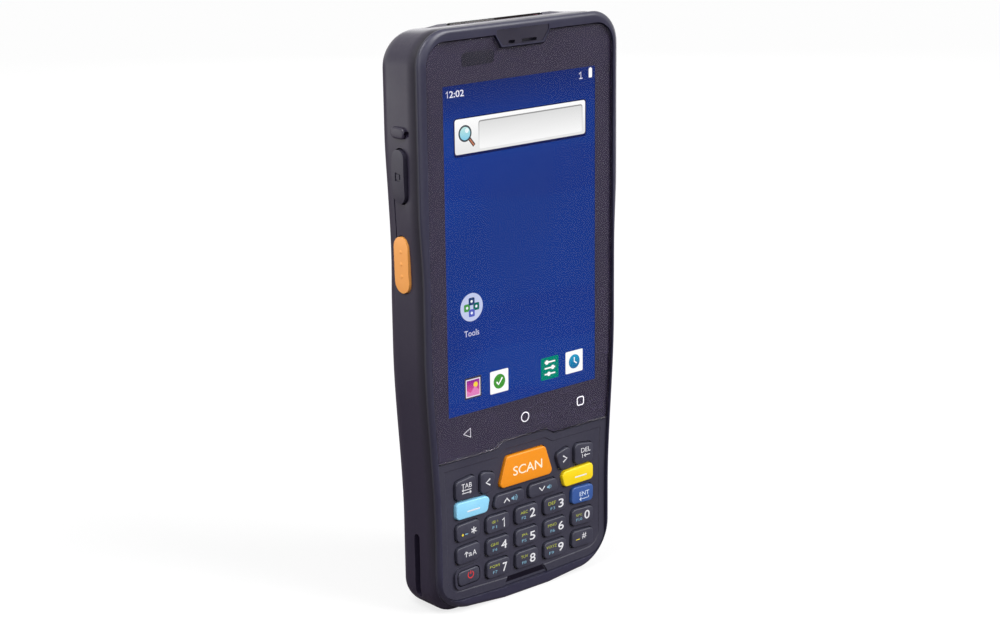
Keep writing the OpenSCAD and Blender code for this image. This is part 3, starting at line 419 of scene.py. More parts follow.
def makeGroups():
    # The fine pebbled texture of a moulded face
    t, source, out = newGroup(
        "mouldGrain",
        [("Vector", "Vector", None), ("Scale", "Float", 4000.0), ("Softness", "Float", 0.5)],
        [("Height", "Float"), ("Tone", "Float")],
    )
    pebbles = t.set(t.add("TexVoronoi", feature="SMOOTH_F1"), Vector=source.outputs["Vector"],
                    Scale=source.outputs["Scale"], Smoothness=source.outputs["Softness"])
    drift = t.set(t.add("TexNoise"), Vector=source.outputs["Vector"],
                  Scale=t.math("MULTIPLY", source.outputs["Scale"], 0.37), Detail=3.0)
    height = t.math("ADD", t.math("MULTIPLY", pebbles.outputs["Distance"], 0.6),
                    t.math("MULTIPLY", drift.outputs[0], 0.5))
    t.feed(height, out.inputs["Height"])
    t.feed(t.ramp(drift.outputs[0], 0.35, 0.65), out.inputs["Tone"])

    # Where edges have been rubbed: the bevelled normal leaves the true one there
    t, source, out = newGroup(
        "edgeWear",
        [("Vector", "Vector", None), ("Width", "Float", 0.0003), ("Amount", "Float", 0.5)],
        [("Mask", "Float")],
    )
    soft = t.set(t.add("Bevel", samples=6), Radius=source.outputs["Width"])
    facing = t.add("VectorMath", operation="DOT_PRODUCT")
    t.feed(soft.outputs[0], facing.inputs[0])
    t.feed(t.add("NewGeometry").outputs["Normal"], facing.inputs[1])
    edge = t.ramp(t.math("SUBTRACT", 1.0, facing.outputs["Value"]), 0.01, 0.2)
    patches = t.set(t.add("TexNoise"), Vector=source.outputs["Vector"], Scale=420.0, Detail=4.0)
    worn = t.math("MULTIPLY", edge, t.ramp(patches.outputs[0], 0.42, 0.66))
    t.feed(t.math("MULTIPLY", worn, source.outputs["Amount"], True), out.inputs["Mask"])

    # Slow changes of gloss where hands have been
    t, source, out = newGroup(
        "handling",
        [("Vector", "Vector", None), ("Scale", "Float", 60.0), ("Low", "Float", 0.4),
         ("High", "Float", 0.5)],
        [("Roughness", "Float"), ("Patches", "Float")],
    )
    wide = t.set(t.add("TexNoise"), Vector=source.outputs["Vector"],
                 Scale=source.outputs["Scale"], Detail=4.0)
    patches = t.ramp(wide.outputs[0], 0.36, 0.64)
    t.feed(t.blend(patches, source.outputs["Low"], source.outputs["High"]), out.inputs["Roughness"])
    t.feed(patches, out.inputs["Patches"])

    # Fine dust that settles on faces turned up and in slow patches
    t, source, out = newGroup(
        "dustFilm", [("Vector", "Vector", None), ("Amount", "Float", 0.1)], [("Mask", "Float")],
    )
    axes = t.add("SeparateXYZ")
    t.feed(t.add("NewGeometry").outputs["Normal"], axes.inputs[0])
    specks = t.set(t.add("TexNoise"), Vector=source.outputs["Vector"], Scale=900.0, Detail=5.0)
    up = t.math("ADD", t.ramp(axes.outputs[2], 0.2, 1.0), 0.25)
    cover = t.math("MULTIPLY", t.ramp(specks.outputs[0], 0.45, 0.75), up)
    t.feed(t.math("MULTIPLY", cover, source.outputs["Amount"], True), out.inputs["Mask"])

    # Painted shade along the joint between the two shells, as a band that fades towards the base
    t, source, out = newGroup(
        "seamShade",
        [("Vector", "Vector", None), ("Seam", "Float", -0.0069), ("Front", "Float", 0.0019),
         ("Back", "Float", 0.003)],
        [("Mask", "Float")],
    )
    axes = t.add("SeparateXYZ")
    t.feed(source.outputs["Vector"], axes.inputs[0])
    past = t.math("SUBTRACT", axes.outputs[1], source.outputs["Seam"])
    behind = t.math("SUBTRACT", 1.0, t.math("DIVIDE", past, source.outputs["Back"]), True)
    ahead = t.math("ADD", 1.0, t.math("DIVIDE", past, source.outputs["Front"]), True)
    band = t.math("MULTIPLY", behind, ahead)
    t.feed(t.math("MULTIPLY", band, t.ramp(axes.outputs[2], -0.002, 0.02)), out.inputs["Mask"])

    # Lines drawn by a brush or a rolling mill
    t, source, out = newGroup(
        "millLines", [("Vector", "Vector", None), ("Scale", "Float", 900.0)],
        [("Height", "Float"), ("Tone", "Float")],
    )
    stretch = t.set(t.add("Mapping"), Vector=source.outputs["Vector"], Scale=(1.0, 1.0, 0.03))
    lines = t.set(t.add("TexNoise"), Vector=stretch.outputs[0], Scale=source.outputs["Scale"], Detail=3.0)
    t.feed(lines.outputs[0], out.inputs["Height"])
    t.feed(t.ramp(lines.outputs[0], 0.3, 0.7), out.inputs["Tone"])
    print("shader groups ready")


makeGroups()


def colour(r, g, b):
    # A colour as read from a screen, 0 to 255, in linear values
    return tuple((c / 255 / 12.92 if c / 255 <= 0.04045 else ((c / 255 + 0.055) / 1.055) ** 2.4)
                 for c in (r, g, b)) + (1.0,)


white = (1.0, 1.0, 1.0, 1.0)
black = (0.0, 0.0, 0.0, 1.0)
dustColour = colour(150, 146, 140)
# Near black that paints the shade along the joint between the two shells
seamShadeColour = colour(6, 5, 8)


def newMaterial(name):
    material = bpy.data.materials.new(name)
    material.use_nodes = True
    t = Tree(material.node_tree)
    surface = material.node_tree.nodes["Principled BSDF"]
    return material, t, surface, t.add("TexCoord").outputs["Object"]


def mouldedPlastic(name, base, worn, low, high, grain, depth, wear=0.5, dust=0.045, tone=0.1, shine=0.5,
                   seam=0.0):
    material, t, surface, where = newMaterial(name)
    pebble = t.group("mouldGrain", Vector=where, Scale=grain, Softness=0.6)
    rubbed = t.group("edgeWear", Vector=where, Width=0.00035, Amount=wear)
    gloss = t.group("handling", Vector=where, Scale=55.0, Low=low, High=high)
    film = t.group("dustFilm", Vector=where, Amount=dust)
    lighter = tuple(min(1, c * 1.35 + 0.004) for c in base[:3]) + (1.0,)
    body = t.mix(t.math("MULTIPLY", pebble.outputs["Tone"], tone), base, lighter)
    body = t.mix(rubbed.outputs["Mask"], body, worn)
    body = t.mix(film.outputs["Mask"], body, dustColour)
    polish = t.math("MULTIPLY", rubbed.outputs["Mask"], 0.15)
    rough = t.math("SUBTRACT", gloss.outputs["Roughness"], polish, True)
    bump = t.set(t.add("Bump"), Strength=0.35, Distance=depth, Height=pebble.outputs["Height"])
    # Painted shade: along the shell joint the colour is mixed towards near black and made rougher
    if seam:
        paintedShade = t.math("MULTIPLY", t.group("seamShade", Vector=where).outputs["Mask"], seam)
        body = t.mix(paintedShade, body, seamShadeColour)
        rough = t.blend(paintedShade, rough, 0.7)
    t.set(surface, Base_Color=body, Roughness=rough, Specular_IOR_Level=shine, Normal=bump.outputs[0])
    return material


def softKey(name, base, worn, low=0.42, high=0.55):
    material, t, surface, where = newMaterial(name)
    pebble = t.group("mouldGrain", Vector=where, Scale=6500.0, Softness=0.8)
    rubbed = t.group("edgeWear", Vector=where, Width=0.0004, Amount=0.45)
    gloss = t.group("handling", Vector=where, Scale=260.0, Low=low, High=high)
    body = t.mix(t.math("MULTIPLY", gloss.outputs["Patches"], 0.1), base, worn)
    body = t.mix(rubbed.outputs["Mask"], body, worn)
    bump = t.set(t.add("Bump"), Strength=0.25, Distance=0.00002, Height=pebble.outputs["Height"])
    t.set(surface, Base_Color=body, Roughness=gloss.outputs["Roughness"], Normal=bump.outputs[0])
    return material


def printedInk(name, strength=0.0):
    # Print whose colour is kept in the mesh as its tint
    material, t, surface, where = newMaterial(name)
    tint = t.add("Attribute", attribute_name="tint")
    gloss = t.group("handling", Vector=where, Scale=900.0, Low=0.4, High=0.6)
    if strength:
        t.set(surface, Base_Color=black, Roughness=gloss.outputs["Roughness"],
              Emission_Color=tint.outputs["Color"], Emission_Strength=strength, Specular_IOR_Level=0.0)
    else:
        worn = (0.8, 0.8, 0.8, 1.0)
        faded = t.add("Mix", data_type="RGBA", blend_type="MULTIPLY")
        t.feed(t.math("MULTIPLY", gloss.outputs["Patches"], 0.5), faded.inputs[0])
        t.feed(tint.outputs["Color"], faded.inputs[6])
        t.feed(worn, faded.inputs[7])
        t.set(surface, Base_Color=faded.outputs[2], Roughness=gloss.outputs["Roughness"])
    return material


def paneGlass(name, tint, ior, rough, smears=0.05):
    # Clear sheet that lets the lamps through to what lies behind it
    material, t, surface, where = newMaterial(name)
    if smears:
        smudge = t.group("handling", Vector=where, Scale=70.0, Low=rough, High=rough + smears)
        t.set(surface, Roughness=smudge.outputs["Roughness"])
    else:
        t.set(surface, Roughness=rough)
    t.set(surface, Base_Color=tint, IOR=ior, Transmission_Weight=1.0)
    clear = t.set(t.add("BsdfTransparent"), Color=tint)
    choose = t.add("MixShader")
    t.feed(t.add("LightPath").outputs["Is Shadow Ray"], choose.inputs[0])
    t.feed(surface.outputs[0], choose.inputs[1])
    t.feed(clear.outputs[0], choose.inputs[2])
    t.feed(choose.outputs[0], material.node_tree.nodes["Material Output"].inputs["Surface"])
    return material


def wallpaper(name, base, deep, light):
    # Lit blue field, darker at its top, with wide faint rings
    material, t, surface, where = newMaterial(name)
    axes = t.add("SeparateXYZ")
    t.feed(where, axes.inputs[0])
    bend = t.set(t.add("TexNoise"), Vector=where, Scale=22.0, Detail=1.0)
    centred = t.set(t.add("Mapping"), Vector=where, Location=(-0.012, 0.0, -0.094))
    rings = t.set(t.add("TexWave", wave_type="RINGS"), Vector=centred.outputs[0],
                  Scale=14.0, Distortion=3.0, Detail=1.0)
    body = t.mix(t.math("MULTIPLY", t.ramp(rings.outputs["Fac"], 0.42, 0.58), 0.35), base, light)
    body = t.mix(t.math("MULTIPLY", t.ramp(bend.outputs[0], 0.4, 0.6), 0.25), body, deep)
    body = t.mix(t.math("MULTIPLY", t.ramp(axes.outputs[2], 0.131, 0.1414), 0.85), body, deep)
    t.set(surface, Base_Color=black, Roughness=0.5, Specular_IOR_Level=0.0,
          Emission_Color=body, Emission_Strength=1.0)
    return material


def metal(name, base, dark, low, high, scale=900.0):
    material, t, surface, where = newMaterial(name)
    lines = t.group("millLines", Vector=where, Scale=scale)
    rubbed = t.group("edgeWear", Vector=where, Width=0.0002, Amount=0.4)
    body = t.mix(t.math("MULTIPLY", lines.outputs["Tone"], 0.4), base, dark)
    body = t.mix(rubbed.outputs["Mask"], body, base)
    bump = t.set(t.add("Bump"), Strength=0.2, Distance=0.00002, Height=lines.outputs["Height"])
    rough = t.blend(lines.outputs["Tone"], low, high)
    t.set(surface, Base_Color=body, Roughness=rough, Metallic=1.0, Normal=bump.outputs[0])
    return material


def circuitBoard(name):
    # Green lacquer over copper tracks
    material, t, surface, where = newMaterial(name)
    plan = t.set(t.add("Mapping"), Vector=where, Scale=(700.0, 700.0, 700.0))
    cells = t.set(t.add("TexVoronoi", feature="F1", distance="CHEBYCHEV"),
                  Vector=plan.outputs[0], Scale=1.0)
    tracks = t.ramp(cells.outputs["Distance"], 0.42, 0.46)
    gloss = t.group("handling", Vector=where, Scale=200.0, Low=0.25, High=0.4)
    body = t.mix(tracks, colour(14, 74, 48), colour(30, 104, 66))
    body = t.mix(t.math("MULTIPLY", gloss.outputs["Patches"], 0.15), body, colour(10, 50, 36))
    bump = t.set(t.add("Bump"), Strength=0.3, Distance=0.00003, Height=tracks)
    t.set(surface, Base_Color=body, Roughness=gloss.outputs["Roughness"], Normal=bump.outputs[0])
    return material


# Roughness runs from low to high; grain is how many pebbles a metre holds and depth their height in metres;
# seam is how strongly the painted shade along the shell joint darkens the colour
finish = {
    "shell": mouldedPlastic("shellPlastic", colour(39, 38, 58), colour(92, 91, 114),
                            low=0.34, high=0.44, grain=4200.0, depth=0.00003, seam=0.75),
    "rear": mouldedPlastic("rearPlastic", colour(41, 36, 53), colour(92, 87, 108),
                           low=0.32, high=0.42, grain=3600.0, depth=0.00004, shine=0.38, seam=0.7),
    "panel": mouldedPlastic("panelPlastic", colour(44, 43, 58), colour(84, 84, 100),
                            low=0.45, high=0.56, grain=3200.0, depth=0.00006),
    "trim": mouldedPlastic("trimPlastic", colour(34, 31, 46), colour(80, 78, 94),
                           low=0.36, high=0.46, grain=5200.0, depth=0.00002),
    "orange": mouldedPlastic("orangePlastic", colour(230, 138, 10), colour(255, 186, 88),
                             low=0.34, high=0.46, grain=5600.0, depth=0.00002,
                             wear=0.3, dust=0.05, tone=0.06),
    "trigger": mouldedPlastic("triggerPlastic", colour(255, 172, 86), colour(255, 204, 136),
                              low=0.4, high=0.5, grain=5600.0, depth=0.00002,
                              wear=0.3, dust=0.05, tone=0.06),
    "sideKey": mouldedPlastic("sideKeyPlastic", colour(38, 35, 50), colour(84, 82, 98),
                              low=0.38, high=0.48, grain=4800.0, depth=0.00002),
    "keyGrey": softKey("keyRubber", colour(48, 48, 62), colour(80, 80, 98)),
    "keyBlue": softKey("lightBlueRubber", colour(138, 204, 236), colour(184, 234, 252)),
    "keyYellow": softKey("yellowRubber", colour(242, 209, 6), colour(252, 234, 90)),
    "keyNavy": softKey("darkBlueRubber", colour(46, 80, 144), colour(88, 122, 184)),
    "ink": printedInk("legendInk"),
    "picture": printedInk("screenLight", 1.0),
    "wallpaper": wallpaper("screenField", colour(26, 56, 139), colour(28, 42, 104), colour(28, 66, 148)),
    "sensor": mouldedPlastic("sensorFilter", colour(9, 6, 20), colour(9, 6, 20),
                             low=0.3, high=0.4, grain=9000.0, depth=0.000005,
                             wear=0.0, dust=0.0, shine=0.2),
    "coverGlass": paneGlass("coverGlass", white, ior=1.14, rough=0.09, smears=0),
    "scanGlass": paneGlass("scanGlass", (0.07, 0.02, 0.03, 1.0), ior=1.22, rough=0.02),
    "mask": mouldedPlastic("glassPrint", colour(19, 12, 32), colour(19, 12, 32),
                           low=0.5, high=0.6, grain=5200.0, depth=0.00001, wear=0.0, dust=0.0, shine=0.2),
    "display": mouldedPlastic("displayGlass", colour(20, 24, 40), colour(20, 24, 40),
                              low=0.12, high=0.2, grain=9000.0, depth=0.000005, wear=0.0, dust=0.0),
    "white": mouldedPlastic("whiteMoulding", colour(206, 206, 208), colour(225, 225, 225),
                            low=0.4, high=0.5, grain=5200.0, depth=0.00002),
    "foam": softKey("blackFoam", colour(24, 24, 24), colour(50, 50, 50), low=0.8, high=0.9),
    "mat": softKey("milkyRubber", colour(190, 188, 180), colour(215, 214, 208), low=0.5, high=0.6),
    "board": circuitBoard("greenBoard"),
    "steel": metal("sheetSteel", colour(196, 196, 194), colour(150, 150, 150), low=0.26, high=0.4),
    "screw": metal("screwSteel", colour(120, 120, 124), colour(84, 84, 88),
                   low=0.3, high=0.42, scale=1800.0),
    "gold": metal("contactGold", colour(226, 186, 98), colour(190, 148, 66), low=0.2, high=0.32),
}
print("materials ready")

posts = {
    "r": 2.4, "wall": 0.4, "end": 11.6, "bore": 1.1, "head": 2.05, "seat": 17.3,
    "rear": [(18.1, 12.2), (23.95, 111.3), (23, 142.5)],
    "front": [(25.7, 44), (24.4, 147.6)], "frontEnd": 5.1, "frontBore": 1.0,
}
frontDeep = {   # how deep the cuts go, and the room round the screen
    "glass": 1.4, "panel": 1.75, "bay": 1, "sensor": 0.9, "bore": 1.2, "screen": 0.1,
}
earpiece = {"half": 5.5, "z": 149.6, "high": 3.2, "web": 1.6,
            "slotZ": 150.2, "slotHigh": 0.8, "slotHalf": 4.75, "slotLeft": 2.1, "slotRight": 5.1}
sensor = {"x": -14.4, "z": 147.5, "half": 5.3, "halfHigh": 1.8, "fieldIn": 0.05, "corner": 1}
skirt = {"inset": 1.55, "end": 4.4}
seal = {"inset": 0.6, "wide": 0.4, "front": 2.0}


def soundSlots(bm, front, back):
    low, high, end = earpiece["slotZ"], earpiece["slotZ"] + earpiece["slotHigh"], earpiece["slotHalf"]
    for x0, x1 in ((-end, earpiece["slotLeft"] - end), (end - earpiece["slotRight"], end)):
        block(bm, (x0, front, low), (x1, back, high))


def keypadBay(g=0):
    return [(x, min(z, panel["barZ"] + g)) for x, z in panelOutline(g - panel["ledge"])]


def makeFrontFrame():
    r, seam, end, deep, near = shell["rimRound"], shell["seam"], skirt["end"], frontDeep, shell["touch"]
    depths = [r * (1 - cos(radians(90 * k / 8))) for k in range(9)] + [1.4, 1.6, 1.8, 2, 2.2, seam]
    rim = shape(loft, depths, [bodyRing(d, shell["groove"] * ease((d - r) / (seam - r))) for d in depths])
    depths = [seam - 1, seam, end]
    inner = shape(loft, depths, [bodyRing(seam, skirt["inset"])] * 2 + [bodyRing(end, skirt["inset"])])
    bosses, pocket, bays, slots, late = (bmesh.new() for k in range(5))
    for x, z in posts["front"]:
        for side in (-1, 1):
            pillar(bosses, side * x, z, posts["r"], seam, posts["frontEnd"])
            pillar(bays, side * x, z, posts["frontBore"], deep["bore"], posts["frontEnd"] + 1)
    carve(rim, [inner, draft(bosses)], "UNION")
    plate(pocket, glassOutline(shell["fit"]), -1, deep["glass"])
    plate(slots, panelOutline(shell["fit"]), -1, deep["panel"])
    plate(bays, keypadBay(), deep["bay"], end + 1)
    half = screen["wide"] / 2 + screen["border"] + deep["screen"]
    low = screen["low"] - screen["foot"] - deep["screen"]
    high = screen["high"] + screen["head"] + deep["screen"]
    plate(bays, boxOutline(half, low, high), deep["bay"], end + 1)
    soundSlots(bays, 0.5, end + 1)
    plate(slots, trimOutline(near), -1, glass["trimBack"])
    e, s = earpiece, sensor
    block(late, (-e["half"] - near, e["web"], e["z"] - near),
          (e["half"] + near, end + 1, e["z"] + e["high"] + near))
    block(late, (s["x"] - s["half"] - near, deep["sensor"], s["z"] - s["halfHigh"] - near),
          (s["x"] + s["half"] + near, end + 1, s["z"] + s["halfHigh"] + near))
    ring = shape(plate, bodyRing(seam, seal["inset"] - near), seal["front"], seal["front"] + 1.4)
    carve(ring, [shape(plate, bodyRing(seam, seal["inset"] + seal["wide"] + near), 1, 5)])
    carve(rim, [draft(pocket), draft(slots), draft(bays), draft(late), ring])
    dress(rim, "frontFrame", "body", finish["shell"], ["front_frame"], edge=0.08)
    print("front frame ready")


bay = {"half": 23.3, "z": 27.9, "high": 76.6, "floor": 11, "wall": 3.2, "start": 10.2, "boreStart": 10.6}
door = {"half": 24.5, "low": 26.7, "high": 105.7, "corner": 4, "depth": 17.4, "gap": 0.15,
        "dip": 10, "dipDeep": 0.8, "dipWide": 16, "dipIn": 3,
        "hookX": 16, "hookHalf": 3.5, "hookFront": 1.05, "hookBack": 0.15, "hookReach": 0.8, "hookRoot": 2,
        "riserFront": 0.6, "riserBack": 0.7, "riserIn": 0.4}
hookRoom = {"half": 3.6, "front": 15.85, "back": 17.35, "low": 25.4, "high": 29.2}
strap = {"floor": 28.2, "depth": 9.5, "z": 12.9, "wide": 2.2, "long": 18, "back": 1.4,
         "wallWide": 2.5, "wallLong": 10.4}
lug = {"z": 130, "depth": 8.6, "long": 5.6, "high": 3, "root": 32.6, "out": 34.75, "round": 0.5,
       "bore": 0.7, "boreX": 33.85}
trigger = {"z": 95.7, "depth": 9.5, "wide": 5.7, "long": 14.8, "proud": 0.82, "seat": 30.95, "travel": 0.6}
sideKey = {"z": 118.9, "depth": 8.4, "wide": 4.8, "long": 13.8, "proud": 1.2, "seat": 31.78, "travel": 0.5}
well = {"floor": 28.3, "triggerGap": 0.6, "keyGapWide": 1, "keyGapLong": 0.8}
rib = {"front": 11.9, "back": 12.35, "x": 32.55, "low": 101.1, "high": 113}
switch = {"x": 29.1, "depth": 8.4}
window = {"z": 153.81, "depth": 14, "turn": -28.7, "wide": 32, "long": 7, "thick": 1.2,
          "gap": 0.15, "sill": 2, "sillEnd": 1, "cheek": 10, "cheekLow": 0.9, "cheekRun": 7, "corner": 0.8}
speaker = {"x": -11, "z": 119.8, "half": 5, "pitch": 2, "slot": 0.4, "front": 16.4}
socket = {"depth": 9.2, "wide": 8.9, "thick": 3.2, "gap": 0.15, "deep": 3.4,
          "contacts": (-9.9, -7.5, 7.5, 9.9), "contact": 0.85}


def windowTurn():
    centre = Matrix.Translation(place(0, window["depth"], window["z"]))
    return centre @ Matrix.Rotation(radians(window["turn"]), 4, "X")


def atWindow(low, high):
    # Corners of a box that is turned with the scan window
    turn = windowTurn()
    base = [(low[0], low[1]), (high[0], low[1]), (high[0], high[1]), (low[0], high[1])]
    points = [turn @ (Vector((x, y, low[2])) * mm) for x, y in base]
    return points, turn.to_3x3() @ Vector((0, 0, (high[2] - low[2]) * mm))


def upright(bm, points, low, high):
    sweep(bm, [place(x, depth, low) for x, depth in points], Vector((0, 0, (high - low) * mm)))


def makeRearHousing():
    back, r, wall = shell["thick"], shell["backRound"], shell["wall"]
    mouth = shell["seam"] + shell["seamGap"]
    depths = [mouth, 2.6, 2.75, 3, 3.4, 3.9, 4.4, 5, 5.6, 6.6, 8, 9.4, 11, 12]
    depths += [back - r + r * sin(radians(90 * k / 10)) for k in range(11)]
    grooves = [shell["rearGroove"] * max(0, 1 - (d - mouth) / shell["grooveReach"]) ** 2 for d in depths]
    housing = shape(loft, depths, [bodyRing(d, groove) for d, groove in zip(depths, grooves)])
    depths = [mouth, 3.4, 4.4, 9.4] + [back - r + (r - wall) * sin(radians(15 * k)) for k in range(7)]
    hollow = shape(loft, [mouth - 1] + depths, [bodyRing(d, wall) for d in [mouth] + depths])

    kept = bmesh.new()   # what stands in the hollow
    block(kept, (-bay["half"] - bay["wall"], bay["start"], bay["z"] - bay["wall"]),
          (bay["half"] + bay["wall"], back, bay["z"] + bay["high"] + bay["wall"]))
    for x, z in posts["rear"]:
        for side in (-1, 1):
            pillar(kept, side * x, z, posts["r"] + posts["wall"], posts["end"] + 0.05, back)
    inside = strap["floor"] - strap["back"]
    for low, high in ((inside, strap["floor"] + 2), (-strap["floor"] - 2, -inside)):
        block(kept, (low, strap["depth"] - strap["wallWide"], strap["z"] - strap["wallLong"]),
              (high, strap["depth"] + strap["wallWide"], strap["z"] + strap["wallLong"]))
    w, l, t = window["wide"] / 2, window["long"] / 2, window["thick"]
    sweep(kept, *atWindow((-w - wall, -l - wall, -t - 1.4), (w + wall, l + wall, 2)))
    carve(hollow, [draft(kept)])

    eye = bmesh.new()
    end = sideSlot(eye, -lug["root"], -lug["out"], lug["depth"], lug["z"], lug["long"], lug["high"])
    roundEdges(eye, end, lug["round"], 4)
    half = w + window["cheek"]   # the housing rises to the window on both sides
    cheek = bmesh.new()
    outline = bothSides([(half, -t - 0.3), (half, -window["cheekLow"]), (half - window["cheekRun"], 0)])
    corner = place(0, window["depth"], window["z"])
    tilt = Matrix.Rotation(radians(window["turn"]), 3, "X")
    sweep(cheek, [corner + tilt @ (Vector((x, 0.1 - l, z)) * mm) for x, z in outline],
          tilt @ Vector((0, (2 * l - 0.2) * mm, 0)))

    first, second, third = bmesh.new(), bmesh.new(), bmesh.new()
    block(first, (-bay["half"], bay["floor"], bay["z"]),
          (bay["half"], door["depth"] + 1, bay["z"] + bay["high"]))
    outline = rounded(grown(boxOutline(door["half"], door["low"], door["high"]), door["gap"]),
                      door["corner"] + door["gap"], 8)
    plate(second, outline, door["depth"] - 0.05, back + 1)
    for side in (-1, 1):
        for x, z in posts["rear"]:
            pillar(first, side * x, z, posts["bore"], bay["boreStart"], back + 1)
            pillar(second, side * x, z, posts["head"], posts["seat"], back + 1)
        sideSlot(first, side * well["floor"], side * 65, trigger["depth"], trigger["z"],
                 trigger["wide"] + well["triggerGap"], trigger["long"] + well["triggerGap"])
        sideSlot(first, side * strap["floor"], side * 60, strap["depth"], strap["z"],
                 strap["wide"], strap["long"])
        x, room = side * door["hookX"], hookRoom
        block(third, (x - room["half"], room["front"], room["low"]),
              (x + room["half"], room["back"], room["high"]))
    sideSlot(first, -well["floor"], -65, sideKey["depth"], sideKey["z"],
             sideKey["wide"] + well["keyGapWide"], sideKey["long"] + well["keyGapLong"])
    block(second, (-65, rib["front"], rib["low"]), (-rib["x"], rib["back"], rib["high"]))
    gap, sill, sillEnd = window["gap"], window["sill"], window["sillEnd"]
    sweep(first, *atWindow((-w - gap, -l - gap, -t - 0.05), (w + gap, l + gap, 7)))
    sweep(second, *atWindow((sill - w, sillEnd - l, -8), (w - sill, l - sillEnd, 1)))
    for k in range(-2, 3):
        z = speaker["z"] + k * speaker["pitch"]
        block(first, (speaker["x"] - speaker["half"], speaker["front"], z - speaker["slot"]),
              (speaker["x"] + speaker["half"], back + 1, z + speaker["slot"]))
    r, half = socket["thick"] / 2 + socket["gap"], socket["wide"] / 2 + socket["gap"]
    opening = arc((half - r, socket["depth"]), r, -90, 90, 14)
    opening += arc((r - half, socket["depth"]), r, 90, 270, 14)
    upright(first, opening, -1, socket["deep"])
    for x in socket["contacts"]:
        upright(first, arc((x, socket["depth"]), socket["contact"], 0, 348, 29), -1, socket["deep"])
    carve(housing, [hollow])
    carve(housing, [draft(eye), draft(cheek)], "UNION")
    bore = bmesh.new()
    pillar(bore, -lug["boreX"], lug["z"], lug["bore"], lug["depth"] - lug["long"] / 2 - 1, lug["depth"], 24)
    carve(housing, [draft(first), draft(second), draft(third), draft(bore)])
    dress(housing, "rearHousing", "body", finish["rear"], ["rear_housing"], edge=0.12)
    print("rear housing ready")


def makeBatteryDoor():
    back = shell["thick"]
    outline = rounded(boxOutline(door["half"], door["low"], door["high"]), door["corner"], 8)
    cover = shape(plate, outline, door["depth"], back)
    hooks, risers, dip = bmesh.new(), bmesh.new(), bmesh.new()
    for x in (-door["hookX"], door["hookX"]):
        half, low, depth, root = door["hookHalf"], door["low"], door["depth"], door["low"] + door["hookRoot"]
        block(hooks, (x - half, depth - door["hookFront"], low - door["hookReach"]),
              (x + half, depth - door["hookBack"], root))
        block(risers, (x - half, depth - door["riserFront"], low + door["riserIn"]),
              (x + half, back - door["riserBack"], root))
    centre = (back + door["dip"] - door["dipDeep"], door["high"] - door["dipIn"])
    ring = arc(centre, door["dip"], 0, 356, 89)
    sweep(dip, [place(door["dipWide"] / 2, d, z) for d, z in ring], Vector((-door["dipWide"] * mm, 0, 0)))
    carve(cover, [draft(hooks), draft(risers)], "UNION")
    carve(cover, [draft(dip)])
    dress(cover, "batteryDoor", "battery_door", finish["rear"], ["battery_door"], edge=0.2)
    print("battery door ready")


def makeGlass():
    pane = shape(plate, glassOutline(-glass["gap"]), glass["recess"], glass["recess"] + glass["thick"])
    dress(pane, "coverGlass", "body", finish["coverGlass"], ["touch_glass"],
          edge=glass["edge"])

    # The print is a shallow tray round the glass, with windows for the screen and the sensor; the tray's wall
    # wraps the glass edge as a dark sheet that paints the shade of the gap between glass and frame
    p = glassPrint
    tray, holes = shape(plate, glassOutline(-p["gap"]), p["front"], p["back"]), bmesh.new()
    carve(tray, [shape(plate, glassOutline(-p["gap"] - p["wall"]), 0, p["floor"])])
    plate(holes, boxOutline(screen["wide"] / 2, screen["low"], screen["high"]), 1, 2)
    eye = rounded(boxOutline(sensor["half"], -sensor["halfHigh"], sensor["halfHigh"]), sensor["corner"])
    plate(holes, eye, 1, 2)
    bmesh.ops.translate(holes, vec=Vector((sensor["x"] * mm, 0, sensor["z"] * mm)), verts=holes.verts[8:])
    carve(tray, [draft(holes)])
    dress(tray, "glassPrint", "body", finish["mask"], ["window_mask"])

    trim = shape(plate, trimOutline(), glass["trimFront"], glass["trimBack"])
    carve(trim, [shape(soundSlots, 0, 2)])
    dress(trim, "earpieceTrim", "body", finish["trim"], ["earpiece_trim"], edge=0.1)

    turn, pane = windowTurn(), bmesh.new()
    outline = boxOutline(window["wide"] / 2, -window["long"] / 2, window["long"] / 2)
    outline = rounded(outline, window["corner"])
    sweep(pane, [turn @ (Vector((x, y, 0)) * mm) for x, y in outline],
          turn.to_3x3() @ Vector((0, 0, -window["thick"] * mm)))
    dress(draft(pane), "scanWindow", "body", finish["scanGlass"], ["scan_window"], edge=0.12)
    print("glass ready")


keypad = {
    "pitch": 10.3, "row": 6.45, "z": 22.35, "wide": 8, "high": 4.8, "corner": 1.3, "turn": 2.5, "rise": 0.45,
    "edge": 24.6, "rowB": 28.7, "rowBHigh": 4.6, "rowA": 31.85, "rowAHigh": 5.3, "tabWide": 6.8,
    "scanHalf": 9.75, "scanHalfTop": 6.9, "scanZ": 31.65, "scanHigh": 8.5, "shiftIn": 13.9,
    "front": 0.15, "back": 1.8, "earThick": 0.5, "ear": 0.45, "gap": 0.3, "shrink": 0.35, "round": 0.32,
}
keyFinish = {   # the keys that aren't grey: finish and material slot
    "key_scan": ("orange", "orange"), "key_shift_blue": ("keyBlue", "key_light_blue"),
    "key_shift_yellow": ("keyYellow", "key_yellow"), "key_enter": ("keyNavy", "key_dark_blue"),
}
plainKey = ("keyGrey", "key_grey")


def digitKey(column, row):
    outer = 1 if abs(column) == 2 else 0
    turn = radians(-keypad["turn"] * outer * (1 if column > 0 else -1))
    x0, z0 = column * keypad["pitch"], keypad["z"] - row * keypad["row"] + outer * keypad["rise"]
    w, h = keypad["wide"] / 2, keypad["high"] / 2
    return [(x0 + x * cos(turn) - z * sin(turn), z0 + x * sin(turn) + z * cos(turn))
            for x, z in ((w, -h), (w, h), (-w, h), (-w, -h))]


def otherSide(points):
    return [(-x, z) for x, z in reversed(points)]


